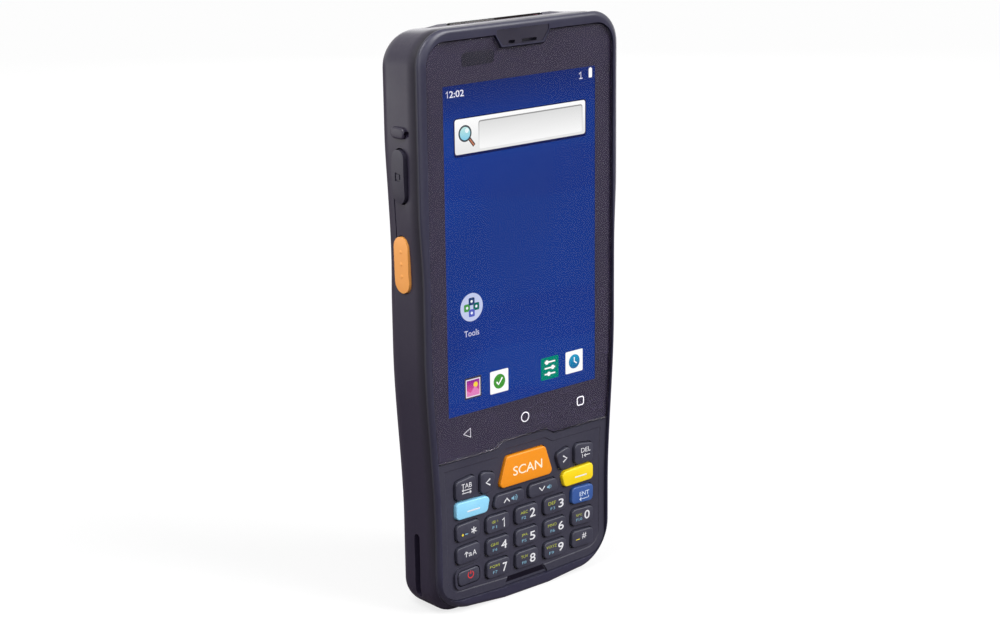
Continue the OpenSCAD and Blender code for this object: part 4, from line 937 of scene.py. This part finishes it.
def keyShapes():
    k = keypad
    edge, a, aHigh, into = k["edge"], k["rowA"], k["rowAHigh"], k["shiftIn"]
    b, bHalf = k["rowB"], k["rowBHigh"] / 2
    lean = (k["scanHalf"] - k["scanHalfTop"]) / k["scanHigh"]
    tab = [(-edge, a), (k["tabWide"] - edge, a), (k["tabWide"] - edge, a + aHigh + 0.9), (-edge, a + aHigh)]
    left = [(k["tabWide"] + 1.7 - edge, a), (-k["scanHalf"] - 2.6, a),
            (lean * aHigh - k["scanHalf"] - 2.7, a + aHigh - 0.4), (k["tabWide"] + 1.7 - edge, a + aHigh + 1)]
    shift = [(-edge, b - bHalf + 0.1), (-into, b - bHalf), (1 - into, b + bHalf - 0.6),
             (-into - 0.4, b + bHalf - 0.1), (-edge, b + bHalf + 0.3)]
    up = [(2 - into, b - bHalf - 0.1), (-0.9, b - bHalf - 0.1),
          (-0.9, b + bHalf - 0.9), (3.2 - into, b + bHalf - 0.9)]
    scan = bothSides([(k["scanHalf"], k["scanZ"]), (k["scanHalfTop"], k["scanZ"] + k["scanHigh"])])
    shapes = {
        "key_tab": tab, "key_left": left, "key_scan": scan, "key_right": otherSide(left),
        "key_delete": otherSide(tab), "key_shift_blue": shift, "key_up": up, "key_down": otherSide(up),
        "key_shift_yellow": otherSide(shift),
    }
    rows = [("star", "1", "2", "3", "enter"), ("caps", "4", "5", "6", "0"),
            ("power", "7", "8", "9", "hash")]
    for row, names in enumerate(rows):
        for column, name in enumerate(names):
            shapes["key_" + name] = digitKey(column - 2, row)
    shapes["key_power"] = grown(shapes["key_power"], -k["shrink"])
    return shapes


def camelName(start, node):
    return start + "".join(word.capitalize() for word in node.split("_")[1:])


def makeKeys():
    corner, back, end = keypad["corner"], keypad["back"], keypad["back"] + keypad["earThick"]
    for name, corners in keyShapes().items():
        bm = bmesh.new()
        rim = plate(bm, rounded(corners, corner), keypad["front"], end)
        roundEdges(bm, rim, keypad["round"], 4)
        middle = (min(x for x, z in corners) + max(x for x, z in corners)) / 2
        ears = [(x + (keypad["ear"] if x > middle else -keypad["ear"]), z) for x, z in corners]
        cap = draft(bm)
        carve(cap, [shape(plate, rounded(ears, corner), back, end)], "UNION")
        material, slot = keyFinish.get(name, plainKey)
        dress(cap, camelName("key", name), name, finish[material], [name])
    print("keys ready")


def makePanel():
    guard = grown(digitKey(-2, 2), panel["guardWide"])
    corner, face, sink = keypad["corner"] + panel["guardWide"], panel["recess"], panel["sink"]
    sheet = shape(plate, panelOutline(), face, face + panel["thick"])
    wide = grown(panelOutline(), panel["step"] - panel["inner"])
    floor = grown(panelOutline(), -panel["inner"])
    carve(sheet, [shape(loft, [face - 1, face - 0.01, face + sink], [wide, wide, floor])])
    ring = shape(plate, rounded(guard, corner), face - panel["guardHigh"], face + sink + 0.2)
    carve(sheet, [ring], "UNION")
    holes = bmesh.new()
    for corners in keyShapes().values():
        plate(holes, rounded(grown(corners, keypad["gap"]), keypad["corner"] + keypad["gap"]), -1, face + 2)
    z = panel["z"]
    outline = bothSides([(panel["plateHalf"], z - 1), (panel["plateHalf"], z + panel["plateLow"]),
                         (panel["plateTopHalf"], z + panel["plateHigh"])])
    carve(sheet, [draft(holes), shape(plate, outline, face - 1, face + 2 * sink)])
    dress(sheet, "keypadPanel", "body", finish["panel"], ["keypad_fascia"], edge=0.09)
    bare, bottom = grown(outline[1:5], -panel["fieldIn"]), face + 2 * sink
    field = shape(plate, bare, bottom - 0.02, bottom + 0.02)
    dress(field, "plateField", "body", finish["sensor"])
    print("keypad panel ready")


control = {   # for the triggers and the side key alike
    "crown": 0.3, "over": 0.5, "deep": 0.7, "sleeve": 0.35, "shoulder": 1.6, "shoulderIn": 0.3,
    "stem": 1.2, "stemGap": 0.05, "stemIn": 0.3,
    "dots": (-2.9, 0.3, 3.5), "dot": 0.55, "dotSink": 0.05, "dotFlat": 0.3, "mark": 1.1, "markIn": 0.6,
}


def faceAt(values, rise):
    # How far out the crowned face is at this height above its middle
    u = rise / (values["long"] / 2 + control["over"])
    return bodyHalf(values["z"] + rise, values["depth"]) + values["proud"] - control["crown"] * u * u


def sideControl(bm, values, steps=28):
    # Drawn on the right side
    reach = values["long"] / 2 + control["over"]
    rises = [(2 * k / steps - 1) * reach for k in range(steps + 1)]
    face = [(faceAt(values, rise), values["z"] + rise) for rise in rises]
    inner = values["seat"] - control["deep"]
    outline = [(inner, values["z"] - reach)] + face + [(inner, values["z"] + reach)]
    plate(bm, outline, values["depth"] - values["wide"], values["depth"] + values["wide"])


def squareMark(x, depth, z, half, long):
    # A square pin through the face of the side key
    bm = bmesh.new()
    points = [place(x, depth + a, z + b) for a, b in boxOutline(half, -half, half)]
    sweep(bm, points, Vector((-long * mm, 0, 0)))
    return draft(bm)


def makeSideControl(name, node, side, values, material, round):
    z, depth, wide, long, seat = (values[k] for k in ("z", "depth", "wide", "long", "seat"))
    cap = shape(sideControl, values)
    sleeve = bmesh.new()
    sideSlot(sleeve, seat - control["sleeve"], 40, depth, z, wide, long)
    carve(cap, [draft(sleeve)], "INTERSECT")
    soften = cap.modifiers.new("round", "BEVEL")
    soften.width, soften.segments, soften.limit_method = round * mm, 5, "ANGLE"
    soften.angle_limit = radians(50)
    settle(cap)
    rest, stem = bmesh.new(), bmesh.new()
    half, high = wide / 2 - control["shoulderIn"], long / 2 + control["shoulder"]
    block(rest, (seat - control["deep"], depth - half, z - high), (seat, depth + half, z + high))
    start = switch["x"] + values["travel"] + control["stemGap"]
    ring = arc((switch["depth"], z), control["stem"], 0, 348, 29)
    length = seat - control["stemIn"] - start
    sweep(stem, [place(start, d, h) for d, h in ring], Vector((length * mm, 0, 0)))
    carve(cap, [draft(rest), draft(stem)], "UNION")
    if node == "side_key":
        face = bodyHalf(z, depth) + values["proud"]
        mark = squareMark(face + 1, depth, z, control["mark"], 1.3)
        carve(mark, [squareMark(face + 2, depth, z, control["markIn"], 4)])
        carve(cap, [mark])
    else:
        dots = bmesh.new()   # three low dots for the finger
        for rise in control["dots"]:
            dome = bmesh.ops.create_uvsphere(dots, u_segments=20, v_segments=10, radius=control["dot"] * mm)
            middle = place(faceAt(values, rise) - control["dotSink"], depth, z + rise)
            flat = Matrix.Translation(middle) @ Matrix.Diagonal((control["dotFlat"], 1, 1, 1))
            bmesh.ops.transform(dots, matrix=flat, verts=dome["verts"])
        carve(cap, [draft(dots)], "UNION")
    bm = bmesh.new()
    bm.from_mesh(cap.data)
    bmesh.ops.scale(bm, vec=(side, 1, 1), verts=bm.verts)
    bmesh.ops.remove_doubles(bm, verts=bm.verts, dist=1e-7)
    bmesh.ops.recalc_face_normals(bm, faces=bm.faces[:])
    bm.to_mesh(cap.data)
    bm.free()
    dress(cap, name, node, finish[material], [node], angle=25)


def makeSideControls():
    makeSideControl("triggerLeft", "trigger_left", -1, trigger, "trigger", 1.2)
    makeSideControl("triggerRight", "trigger_right", 1, trigger, "trigger", 1.2)
    makeSideControl("sideKey", "side_key", -1, sideKey, "sideKey", 0.55)
    print("side controls ready")


def tinted(bm, known, ink):
    # The faces that are new get this tint, which may be a function of the height
    layer = bm.loops.layers.float_color.get("tint") or bm.loops.layers.float_color.new("tint")
    for face in set(bm.faces) - known:
        for loop in face.loops:
            loop[layer] = ink(loop.vert.co.z / mm) if callable(ink) else ink


def addCurve(bm, data, depth, thick, ink, box=None):
    # Text or a line, drawn in x and z and made flat at this depth
    holder = bpy.data.objects.new("drawn", data)
    mesh = bpy.data.meshes.new_from_object(holder)
    bpy.data.objects.remove(holder)
    bpy.data.curves.remove(data)
    low = [min(v.co[i] for v in mesh.vertices) for i in range(3)]
    high = [max(v.co[i] for v in mesh.vertices) for i in range(3)]
    for v in mesh.vertices:
        x, z, y = v.co
        if box:
            x = box[0] + (x - low[0]) / (high[0] - low[0]) * (box[1] - box[0])
            z = box[2] + (z - low[1]) / (high[1] - low[1]) * (box[3] - box[2])
        v.co = place(x, depth + thick * (0.5 - (y - low[2]) / (high[2] - low[2])), z)
    known = set(bm.faces)
    bm.from_mesh(mesh)
    bpy.data.meshes.remove(mesh)
    tinted(bm, known, ink)


def letters(bm, words, x0, x1, z0, z1, depth, ink, weight=-0.006, thick=0.03):
    data = bpy.data.curves.new("letters", "FONT")
    data.body = words
    data.offset = weight
    data.extrude = 0.05
    data.resolution_u = 4
    addCurve(bm, data, depth, thick, ink, (x0, x1, z0, z1))


def line(bm, points, width, depth, ink, closed=False, thick=0.03):
    data = bpy.data.curves.new("line", "CURVE")
    data.dimensions = "3D"
    data.bevel_depth = width / 2
    data.bevel_resolution = 1
    data.use_fill_caps = True
    spline = data.splines.new("POLY")
    spline.points.add(len(points) - 1)
    for point, (x, z) in zip(spline.points, points):
        point.co = (x, z, 0, 1)
    spline.use_cyclic_u = closed
    addCurve(bm, data, depth, thick, ink)


def patch(bm, outline, depth, ink, thick=0.01):
    known = set(bm.faces)
    plate(bm, outline, depth, depth + thick)
    tinted(bm, known, ink)


def tile(x0, x1, z0, z1, r):
    return rounded([(x1, z0), (x1, z1), (x0, z1), (x0, z0)], r, 4)


def circle(x, z, r, steps=32):
    return arc((x, z), r, 0, 360 - 360 / steps, steps - 1)


inks = {
    "white": colour(228, 228, 232), "cream": colour(255, 240, 214), "lime": colour(184, 190, 62),
    "sky": colour(128, 176, 200), "red": colour(226, 44, 44), "pale": colour(214, 228, 250),
    "yellow": colour(226, 206, 60), "status": colour(236, 236, 248), "sign": colour(196, 194, 200),
}
printed = {   # boldness, height of the small labels, and how deep a flat sign lies in its key
    "digit": 0.008, "word": 0, "scan": 0.004, "one": 0.34, "label": 0.78, "sink": 0.015, "thick": 0.03,
}
digits = {   # box of the digit, letters above it with their box, small label with its two ends and its foot
    "1": ((-8.9, -7.9, 20.8, 23.3), ("@ !", -12.5, -10.4, 22.6, 23.4), ("F1", -12.3, -10.8, 21.1)),
    "2": ((1.0, 3.0, 21.0, 23.6), ("ABC", -2.3, 0.3, 22.6, 23.4), ("F2", -1.9, -0.4, 21.1)),
    "3": ((11.5, 13.4, 21.1, 23.6), ("DEF", 7.8, 10.5, 22.6, 23.5), ("F3", 8.6, 10.2, 21.1)),
    "4": ((-9.3, -7.3, 14.6, 17.0), ("GHI", -13.0, -10.4, 16.2, 17.0), ("F4", -12.3, -10.8, 14.6)),
    "5": ((0.9, 2.9, 14.4, 16.8), ("JKL", -2.0, 0.3, 16.1, 16.9), ("F5", -1.9, -0.3, 14.5)),
    "6": ((11.4, 13.4, 14.5, 17.0), ("MNO", 7.6, 10.7, 16.3, 17.1), ("F6", 8.5, 10.1, 14.6)),
    "7": ((-8.9, -7.3, 8.0, 10.5), ("PQRS", -13.4, -9.9, 9.9, 10.7), ("F7", -12.3, -10.8, 8.2)),
    "8": ((0.9, 2.9, 7.9, 10.4), ("TUV", -2.3, 0.2, 9.8, 10.6), ("F8", -1.9, -0.4, 8.1)),
    "9": ((11.3, 13.3, 8.3, 10.8), ("WXYZ", 7.0, 10.7, 10.0, 10.8), ("F9", 8.0, 9.7, 8.2)),
    "0": ((21.2, 23.2, 15.2, 17.7), ("SPC", 18.1, 20.4, 16.7, 17.3), ("F10", 18.1, 20.3, 15.3)),
}
words = {   # text, its box, ink
    "key_tab": [("TAB", -22.75, -19.25, 35.0, 36.3, "white")],
    "key_delete": [("DEL", 20.0, 23.5, 35.0, 36.3, "white")],
    "key_scan": [("SCAN", -4.8, 5.6, 34.3, 36.9, "cream")],
    "key_enter": [("ENT", 19.4, 23.0, 22.4, 23.6, "pale")],
    "key_caps": [("a", -20.7, -19.6, 15.6, 16.6, "white"), ("A", -19.4, -18.0, 15.6, 17.1, "white")],
    "key_hash": [("#", 20.3, 21.9, 9.6, 11.3, "white")],
}
lines = {   # width, ink, points
    "key_tab": [(0.2, "white", [(-22.6, 34.45), (-19.4, 34.45)]),
                (0.2, "white", [(-22.6, 33.65), (-19.4, 33.65)]),
                (0.2, "white", [(-22.0, 34.85), (-22.6, 34.45), (-22.0, 34.05)]),
                (0.2, "white", [(-20.0, 34.05), (-19.4, 33.65), (-20.0, 33.25)])],
    "key_delete": [(0.2, "white", [(20.5, 33.5), (20.5, 34.6)]),
                   (0.2, "white", [(21.1, 34.05), (23.3, 34.05)]),
                   (0.2, "white", [(21.7, 34.5), (21.1, 34.05), (21.7, 33.6)])],
    "key_left": [(0.4, "white", [(-12.9, 35.6), (-14.3, 34.7), (-12.9, 33.8)])],
    "key_right": [(0.4, "white", [(13.3, 35.7), (14.7, 34.8), (13.3, 33.9)])],
    "key_shift_blue": [(0.38, "white", [(-20.9, 28.3), (-16.6, 28.3)])],
    "key_shift_yellow": [(0.38, "white", [(17.7, 28.4), (22.1, 28.4)])],
    "key_up": [(0.34, "white", [(-8.1, 27.5), (-7.15, 28.6), (-6.2, 27.5)]),
               (0.2, "sky", arc((-4.4, 28.1), 0.45, -60, 60, 8)),
               (0.2, "sky", arc((-4.4, 28.1), 0.9, -60, 60, 8))],
    "key_down": [(0.34, "white", [(4.5, 28.7), (5.5, 27.6), (6.5, 28.7)]),
                 (0.2, "sky", arc((8.3, 28.1), 0.5, -60, 60, 8))],
    "key_star": [(0.3, "white", arc((-18.8, 22.6), 0.95, a + 180, a, 1)) for a in (30, 90, 150)]
                + [(0.26, "sky", [(-21.8, 22.1), (-20.8, 22.1)])],
    "key_enter": [(0.22, "pale", [(19.4, 21.5), (22.8, 21.5), (22.8, 22.0)]),
                  (0.22, "pale", [(20.0, 21.95), (19.4, 21.5), (20.0, 21.05)])],
    "key_caps": [(0.24, "white", [(-21.5, 15.6), (-21.5, 17.1)]),
                 (0.24, "white", [(-22.1, 16.5), (-21.5, 17.1), (-20.9, 16.5)])],
    "key_power": [(0.24, "red", arc((-20.1, 10.3), 0.95, 125, 415, 22)),
                  (0.24, "red", [(-20.1, 10.5), (-20.1, 11.45)])],
    "key_hash": [(0.26, "yellow", [(18.1, 9.8), (19.5, 9.8)])],
}
dots = {"key_star": [(-22.6, 22.1, 0.34, "yellow")]}   # x, z, radius, ink
cones = {"key_up": (-5.5, 28.1), "key_down": (7.3, 28.1)}   # loudspeaker signs: place of the narrow end


def addDigit(bm, digit, front):
    box, (above, *aboveBox), (label, x0, x1, z) = digits[digit]
    if digit == "1":   # drawn from listed points, as the font's own has no foot or flag
        line(bm, [(-8.75, 22.8), (-8.15, 23.3), (-8.15, 20.8)], printed["one"], front, inks["white"])
    else:
        letters(bm, digit, *box, front, inks["white"], printed["digit"])
    letters(bm, above, *aboveBox, front, inks["lime"])
    letters(bm, label, x0, x1, z, z + printed["label"], front, inks["sky"])


def makeLegends():
    front, flat, thick = keypad["front"], keypad["front"] - printed["sink"], printed["thick"]
    for key in keyShapes():
        bm = bmesh.new()
        name = key.split("_")[-1]
        if name in digits:
            addDigit(bm, name, front)
        for text, x0, x1, z0, z1, ink in words.get(key, []):
            weight = printed["scan"] if key == "key_scan" else printed["word"]
            letters(bm, text, x0, x1, z0, z1, front, inks[ink], weight)
        for width, ink, points in lines.get(key, []):
            line(bm, points, width, front, inks[ink])
        for x, z, r, ink in dots.get(key, []):
            patch(bm, circle(x, z, r, 16), flat, inks[ink], thick)
        if key in cones:
            x, z = cones[key]
            sign = [(x + 0.4, z - 0.25), (x + 0.95, z - 0.65), (x + 0.95, z + 0.65), (x + 0.4, z + 0.25),
                    (x, z + 0.25), (x, z - 0.25)]
            patch(bm, sign, flat, inks["sky"], thick)
        dress(draft(bm), camelName("legend", key), key, finish["ink"])
    print("legends ready")


picture = {   # its lit field, and the layers of print in front of that
    "back": 1.245, "field": 1.23, "front": 1.22, "layer": 0.012, "layers": 8, "thick": 0.01,
}
signs = {"depth": 1.109, "thick": 0.008, "line": 0.28}   # on the back of the glass
sensorField = {"front": 1.125, "back": 1.18}


def shaded(top, foot, start, span):
    # A grey that goes from one tone at this height to the other, a span below
    return lambda z: colour(*[top + (foot - top) * ease((start - z) / span)] * 3)


def addStatus(bm, level):
    ink, thick = inks["status"], picture["thick"]
    line(bm, [(-24.85, 139.6), (-24.3, 140.1), (-24.3, 138.4)], 0.24, level[0], ink, thick=thick)
    letters(bm, "2:02", -23.75, -19.0, 138.4, 140.1, level[0], ink, 0.012, thick)
    line(bm, [(20.3, 139.7), (20.9, 140.2), (20.9, 138.5)], 0.26, level[0], ink, thick=thick)
    line(bm, [(20.3, 138.5), (21.5, 138.5)], 0.24, level[1], ink, thick=thick)
    patch(bm, tile(23.7, 24.9, 138.4, 140.9, 0.25), level[0], white)
    patch(bm, tile(24.05, 24.55, 140.8, 141.1, 0.1), level[1], white)


def addSearchField(bm, level):
    thick = picture["thick"]
    patch(bm, tile(-22.6, 22.8, 123.0, 133.0, 0.9), level[0], colour(18, 26, 78))
    patch(bm, tile(-22.2, 22.4, 123.7, 132.7, 0.7), level[1], shaded(255, 231, 130, 7))
    patch(bm, tile(-14.4, 21.4, 124.3, 131.7, 0.7), level[2], shaded(150, 230, 131, 6))
    patch(bm, tile(-14.2, 21.2, 124.4, 131.35, 0.5), level[3], shaded(222, 250, 131, 4))
    line(bm, [(-17.6, 127.6), (-15.9, 125.5)], 0.95, level[3], colour(46, 34, 32), thick=thick)
    line(bm, [(-17.4, 127.3), (-16.0, 125.6)], 0.45, level[4], colour(190, 120, 96), thick=thick)
    patch(bm, circle(-18.9, 128.9, 2.15), level[5], colour(60, 66, 74))
    patch(bm, circle(-18.9, 128.9, 1.7), level[6],
          lambda z: colour(138 + 18 * (z - 127.5), 206 + 9 * (z - 127.5), 230))
    patch(bm, circle(-18.3, 129.6, 0.62, 16), level[7], colour(236, 248, 252))


def addFolder(bm, level):
    # Four small squares on a pale disc, and the folder's word
    x, z, half = -17.6, 83.4, 1.0
    patch(bm, circle(x, z, 3.75, 48), level[0], colour(196, 204, 236))
    squares = [(0, 1.55, colour(36, 62, 112)), (-1.55, 0, colour(70, 150, 70)),
               (1.55, 0, colour(20, 104, 96)), (0, -1.55, colour(84, 96, 190))]
    for dx, dz, ink in squares:
        square = tile(x + dx - half, x + dx + half, z + dz - half, z + dz + half, 0.35)
        patch(bm, square, level[1 if dx else 2], ink)
        patch(bm, circle(x + dx, z + dz, 0.38, 12), level[3], colour(238, 242, 250))
    letters(bm, "Tools", -20.2, -15.2, 75.7, 77.3, level[0], colour(214, 216, 238), 0, picture["thick"])


def addIcons(bm, level):
    # A landscape, a tick, three sliders and a clock
    thick = picture["thick"]
    patch(bm, tile(-20.4, -14.7, 58.8, 64.6, 0.3), level[0], colour(62, 58, 66))
    patch(bm, tile(-20.0, -15.1, 59.2, 64.1, 0.15), level[1], colour(236, 226, 236))
    patch(bm, tile(-19.7, -15.4, 59.5, 63.8, 0.05), level[2],
          lambda z: colour(240 - 24 * (z - 59.5), 96 - 14 * (z - 59.5), 150))
    patch(bm, circle(-16.7, 62.4, 0.75, 20), level[3], colour(250, 212, 70))
    hills = [(-15.4, 59.5), (-15.4, 60.6), (-17.0, 62.0), (-18.4, 60.4), (-19.7, 61.2), (-19.7, 59.5)]
    patch(bm, hills, level[4], colour(226, 130, 190))
    for x0, x1, ink in ((-11.7, -5.4, white), (6.2, 12.5, colour(0, 132, 112)), (15.1, 21.4, white)):
        patch(bm, tile(x0, x1, 58.4, 64.6, 0.35), level[0], ink)
    patch(bm, circle(-8.5, 61.5, 2.0), level[1], colour(66, 150, 52))
    line(bm, [(-9.5, 61.5), (-8.8, 60.7), (-7.5, 62.4)], 0.5, level[2], white, thick=thick)
    for k, knob in enumerate((8.3, 10.4, 9.0)):
        z = 63.2 - 1.65 * k
        line(bm, [(7.5, z), (11.3, z)], 0.42, level[1], white, thick=thick)
        patch(bm, circle(knob, z, 0.62, 20), level[2], white)
    patch(bm, circle(18.3, 61.5, 2.0), level[1],
          lambda z: colour(30, 110 + 14 * (z - 60), 160 + 12 * (z - 60)))
    line(bm, [(18.3, 62.7), (18.3, 61.5), (19.2, 60.9)], 0.36, level[2], white, thick=thick)


def makePicture():
    lit = boxOutline(screen["wide"] / 2, screen["low"], screen["high"])
    field = shape(plate, lit, picture["field"], picture["back"])
    dress(field, "displayWallpaper", "body", finish["wallpaper"])
    level = [picture["front"] - picture["layer"] * k for k in range(picture["layers"])]
    bm = bmesh.new()
    for add in (addStatus, addSearchField, addFolder, addIcons):
        add(bm, level)
    dress(draft(bm), "displayPicture", "body", finish["picture"])
    print("picture ready")


def makeGlassSigns():
    # Printed on the back of the glass, with the dark field of the sensor
    bm = bmesh.new()
    back = [(-21.1, 49.6), (-18.75, 50.85), (-18.75, 48.35)]
    for outline in (back, circle(0.3, 49.7, 1.3, 40), tile(19.3, 21.6, 48.65, 50.95, 0.5)):
        line(bm, outline, signs["line"], signs["depth"], inks["sign"], True, signs["thick"])
    dress(draft(bm), "glassSigns", "body", finish["ink"])
    x, z, half, high = (sensor[key] for key in ("x", "z", "half", "halfHigh"))
    half, high = half - sensor["fieldIn"], high - sensor["fieldIn"]
    outline = tile(x - half, x + half, z - high, z + high, sensor["corner"])
    field = shape(plate, outline, sensorField["front"], sensorField["back"])
    dress(field, "sensorField", "body", finish["sensor"])
    print("signs on the glass ready")


makeFrontFrame()
makeRearHousing()
makeBatteryDoor()
makeGlass()
makePanel()
makeKeys()
makeSideControls()
makeLegends()
makePicture()
makeGlassSigns()

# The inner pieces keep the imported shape
plain = {
    "glass_tape": "foam", "lcd_panel": "display", "backlight": "white",
    "keypad_mat": "mat", "key_domes": "steel", "keypad_board": "board", "chassis": "steel",
    "chassis_screws": "screw", "main_board": "board", "board_shields": "steel", "side_switches": "steel",
    "switch_strips": "board", "scan_engine": "trim", "battery_contacts": "gold",
    "loudspeaker": "trim", "earpiece": "trim", "light_sensor": "trim", "vibration_motor": "steel",
    "data_socket": "steel", "dock_contacts": "gold", "housing_seal": "foam", "housing_screws": "screw",
    "battery_pack": "trim",
}
for name, material in plain.items():
    node = nodes[name]
    if not node.material_slots:
        node.data.materials.append(finish[material])
    for each in node.material_slots:
        each.material = finish[material]
print("inner pieces ready")

studio = {
    # The floor is white to the camera, darker to gloss and to the light that it throws back
    "floor": white, "floorMirror": (0.2, 0.17, 0.2, 1.0), "floorBounce": (0.16, 0.15, 0.15, 1.0),
    "floorSize": 12, "lift": 0.75,
    "world": 0.38,
    "sun": {"from": (0.5, -0.85, 0.68), "angle": 34, "power": 3.0},
    "panels": [   # place, aims at, width, height, power
        ((-0.30, 0.30, 0.09), (-0.03, 0, 0.12), 0.3, 0.14, 0.27),
        ((-0.42, -0.5, 0.2), (0, 0, 0.1), 0.3, 0.3, 0.8),
        ((0.42, 0.12, 0.04), (0.03, 0, 0.06), 0.2, 0.2, 0.35),
        ((0.6, 0.7, 0.42), (0, 0, 0.15), 0.5, 0.5, 1.2),
        ((-0.2, -0.05, 0.36), (-0.03, 0, 0.14), 0.16, 0.16, 0.7),
    ],
}


def whiteFor(t, *rays):
    # 1 for these kinds of rays, 0 for the others
    path = t.add("LightPath")
    total = path.outputs[rays[0]]
    for kind in rays[1:]:
        total = t.math("MAXIMUM", total, path.outputs[kind])
    return total


def addLamp(kind, place, aim, power, **values):
    data = bpy.data.lights.new("softbox", kind)
    data.energy = power
    for key, value in values.items():
        setattr(data, key, value)
    lamp = bpy.data.objects.new("softbox", data)
    lamp.location = place
    lamp.rotation_euler = (Vector(aim) - Vector(place)).to_track_quat("-Z", "Y").to_euler()
    scene.collection.objects.link(lamp)


def makeStudio():
    floor = bmesh.new()
    bmesh.ops.create_grid(floor, x_segments=1, y_segments=1, size=studio["floorSize"] / 2)
    ground = draft(floor, "floor")
    material, t, surface, where = newMaterial("paleFloor")
    seen = whiteFor(t, "Is Camera Ray", "Is Transmission Ray")
    shown = t.mix(whiteFor(t, "Is Glossy Ray"), studio["floorBounce"], studio["floorMirror"])
    t.set(surface, Base_Color=t.mix(seen, shown, studio["floor"]), Roughness=0.9, Specular_IOR_Level=0.0)
    paper, choose = t.set(t.add("Emission"), Color=white, Strength=1.0), t.add("MixShader")
    t.feed(t.math("MULTIPLY", seen, studio["lift"]), choose.inputs[0])
    t.feed(surface.outputs[0], choose.inputs[1])
    t.feed(paper.outputs[0], choose.inputs[2])
    t.feed(choose.outputs[0], material.node_tree.nodes["Material Output"].inputs["Surface"])
    ground.data.materials.append(material)
    world = bpy.data.worlds.new("studio")
    world.use_nodes = True
    t, sky = Tree(world.node_tree), world.node_tree.nodes["Background"]
    shown = whiteFor(t, "Is Camera Ray", "Is Glossy Ray", "Is Transmission Ray")
    t.set(sky, Color=white, Strength=t.blend(shown, studio["world"], 1.0))
    scene.world = world
    sun = studio["sun"]
    addLamp("SUN", sun["from"], (0, 0, 0), sun["power"], angle=radians(sun["angle"]))
    for where, aim, wide, high, power in studio["panels"]:
        addLamp("AREA", where, aim, power, shape="RECTANGLE", size=wide, size_y=high)
    scene.view_settings.view_transform = "Standard"
    print("studio ready")


makeStudio()
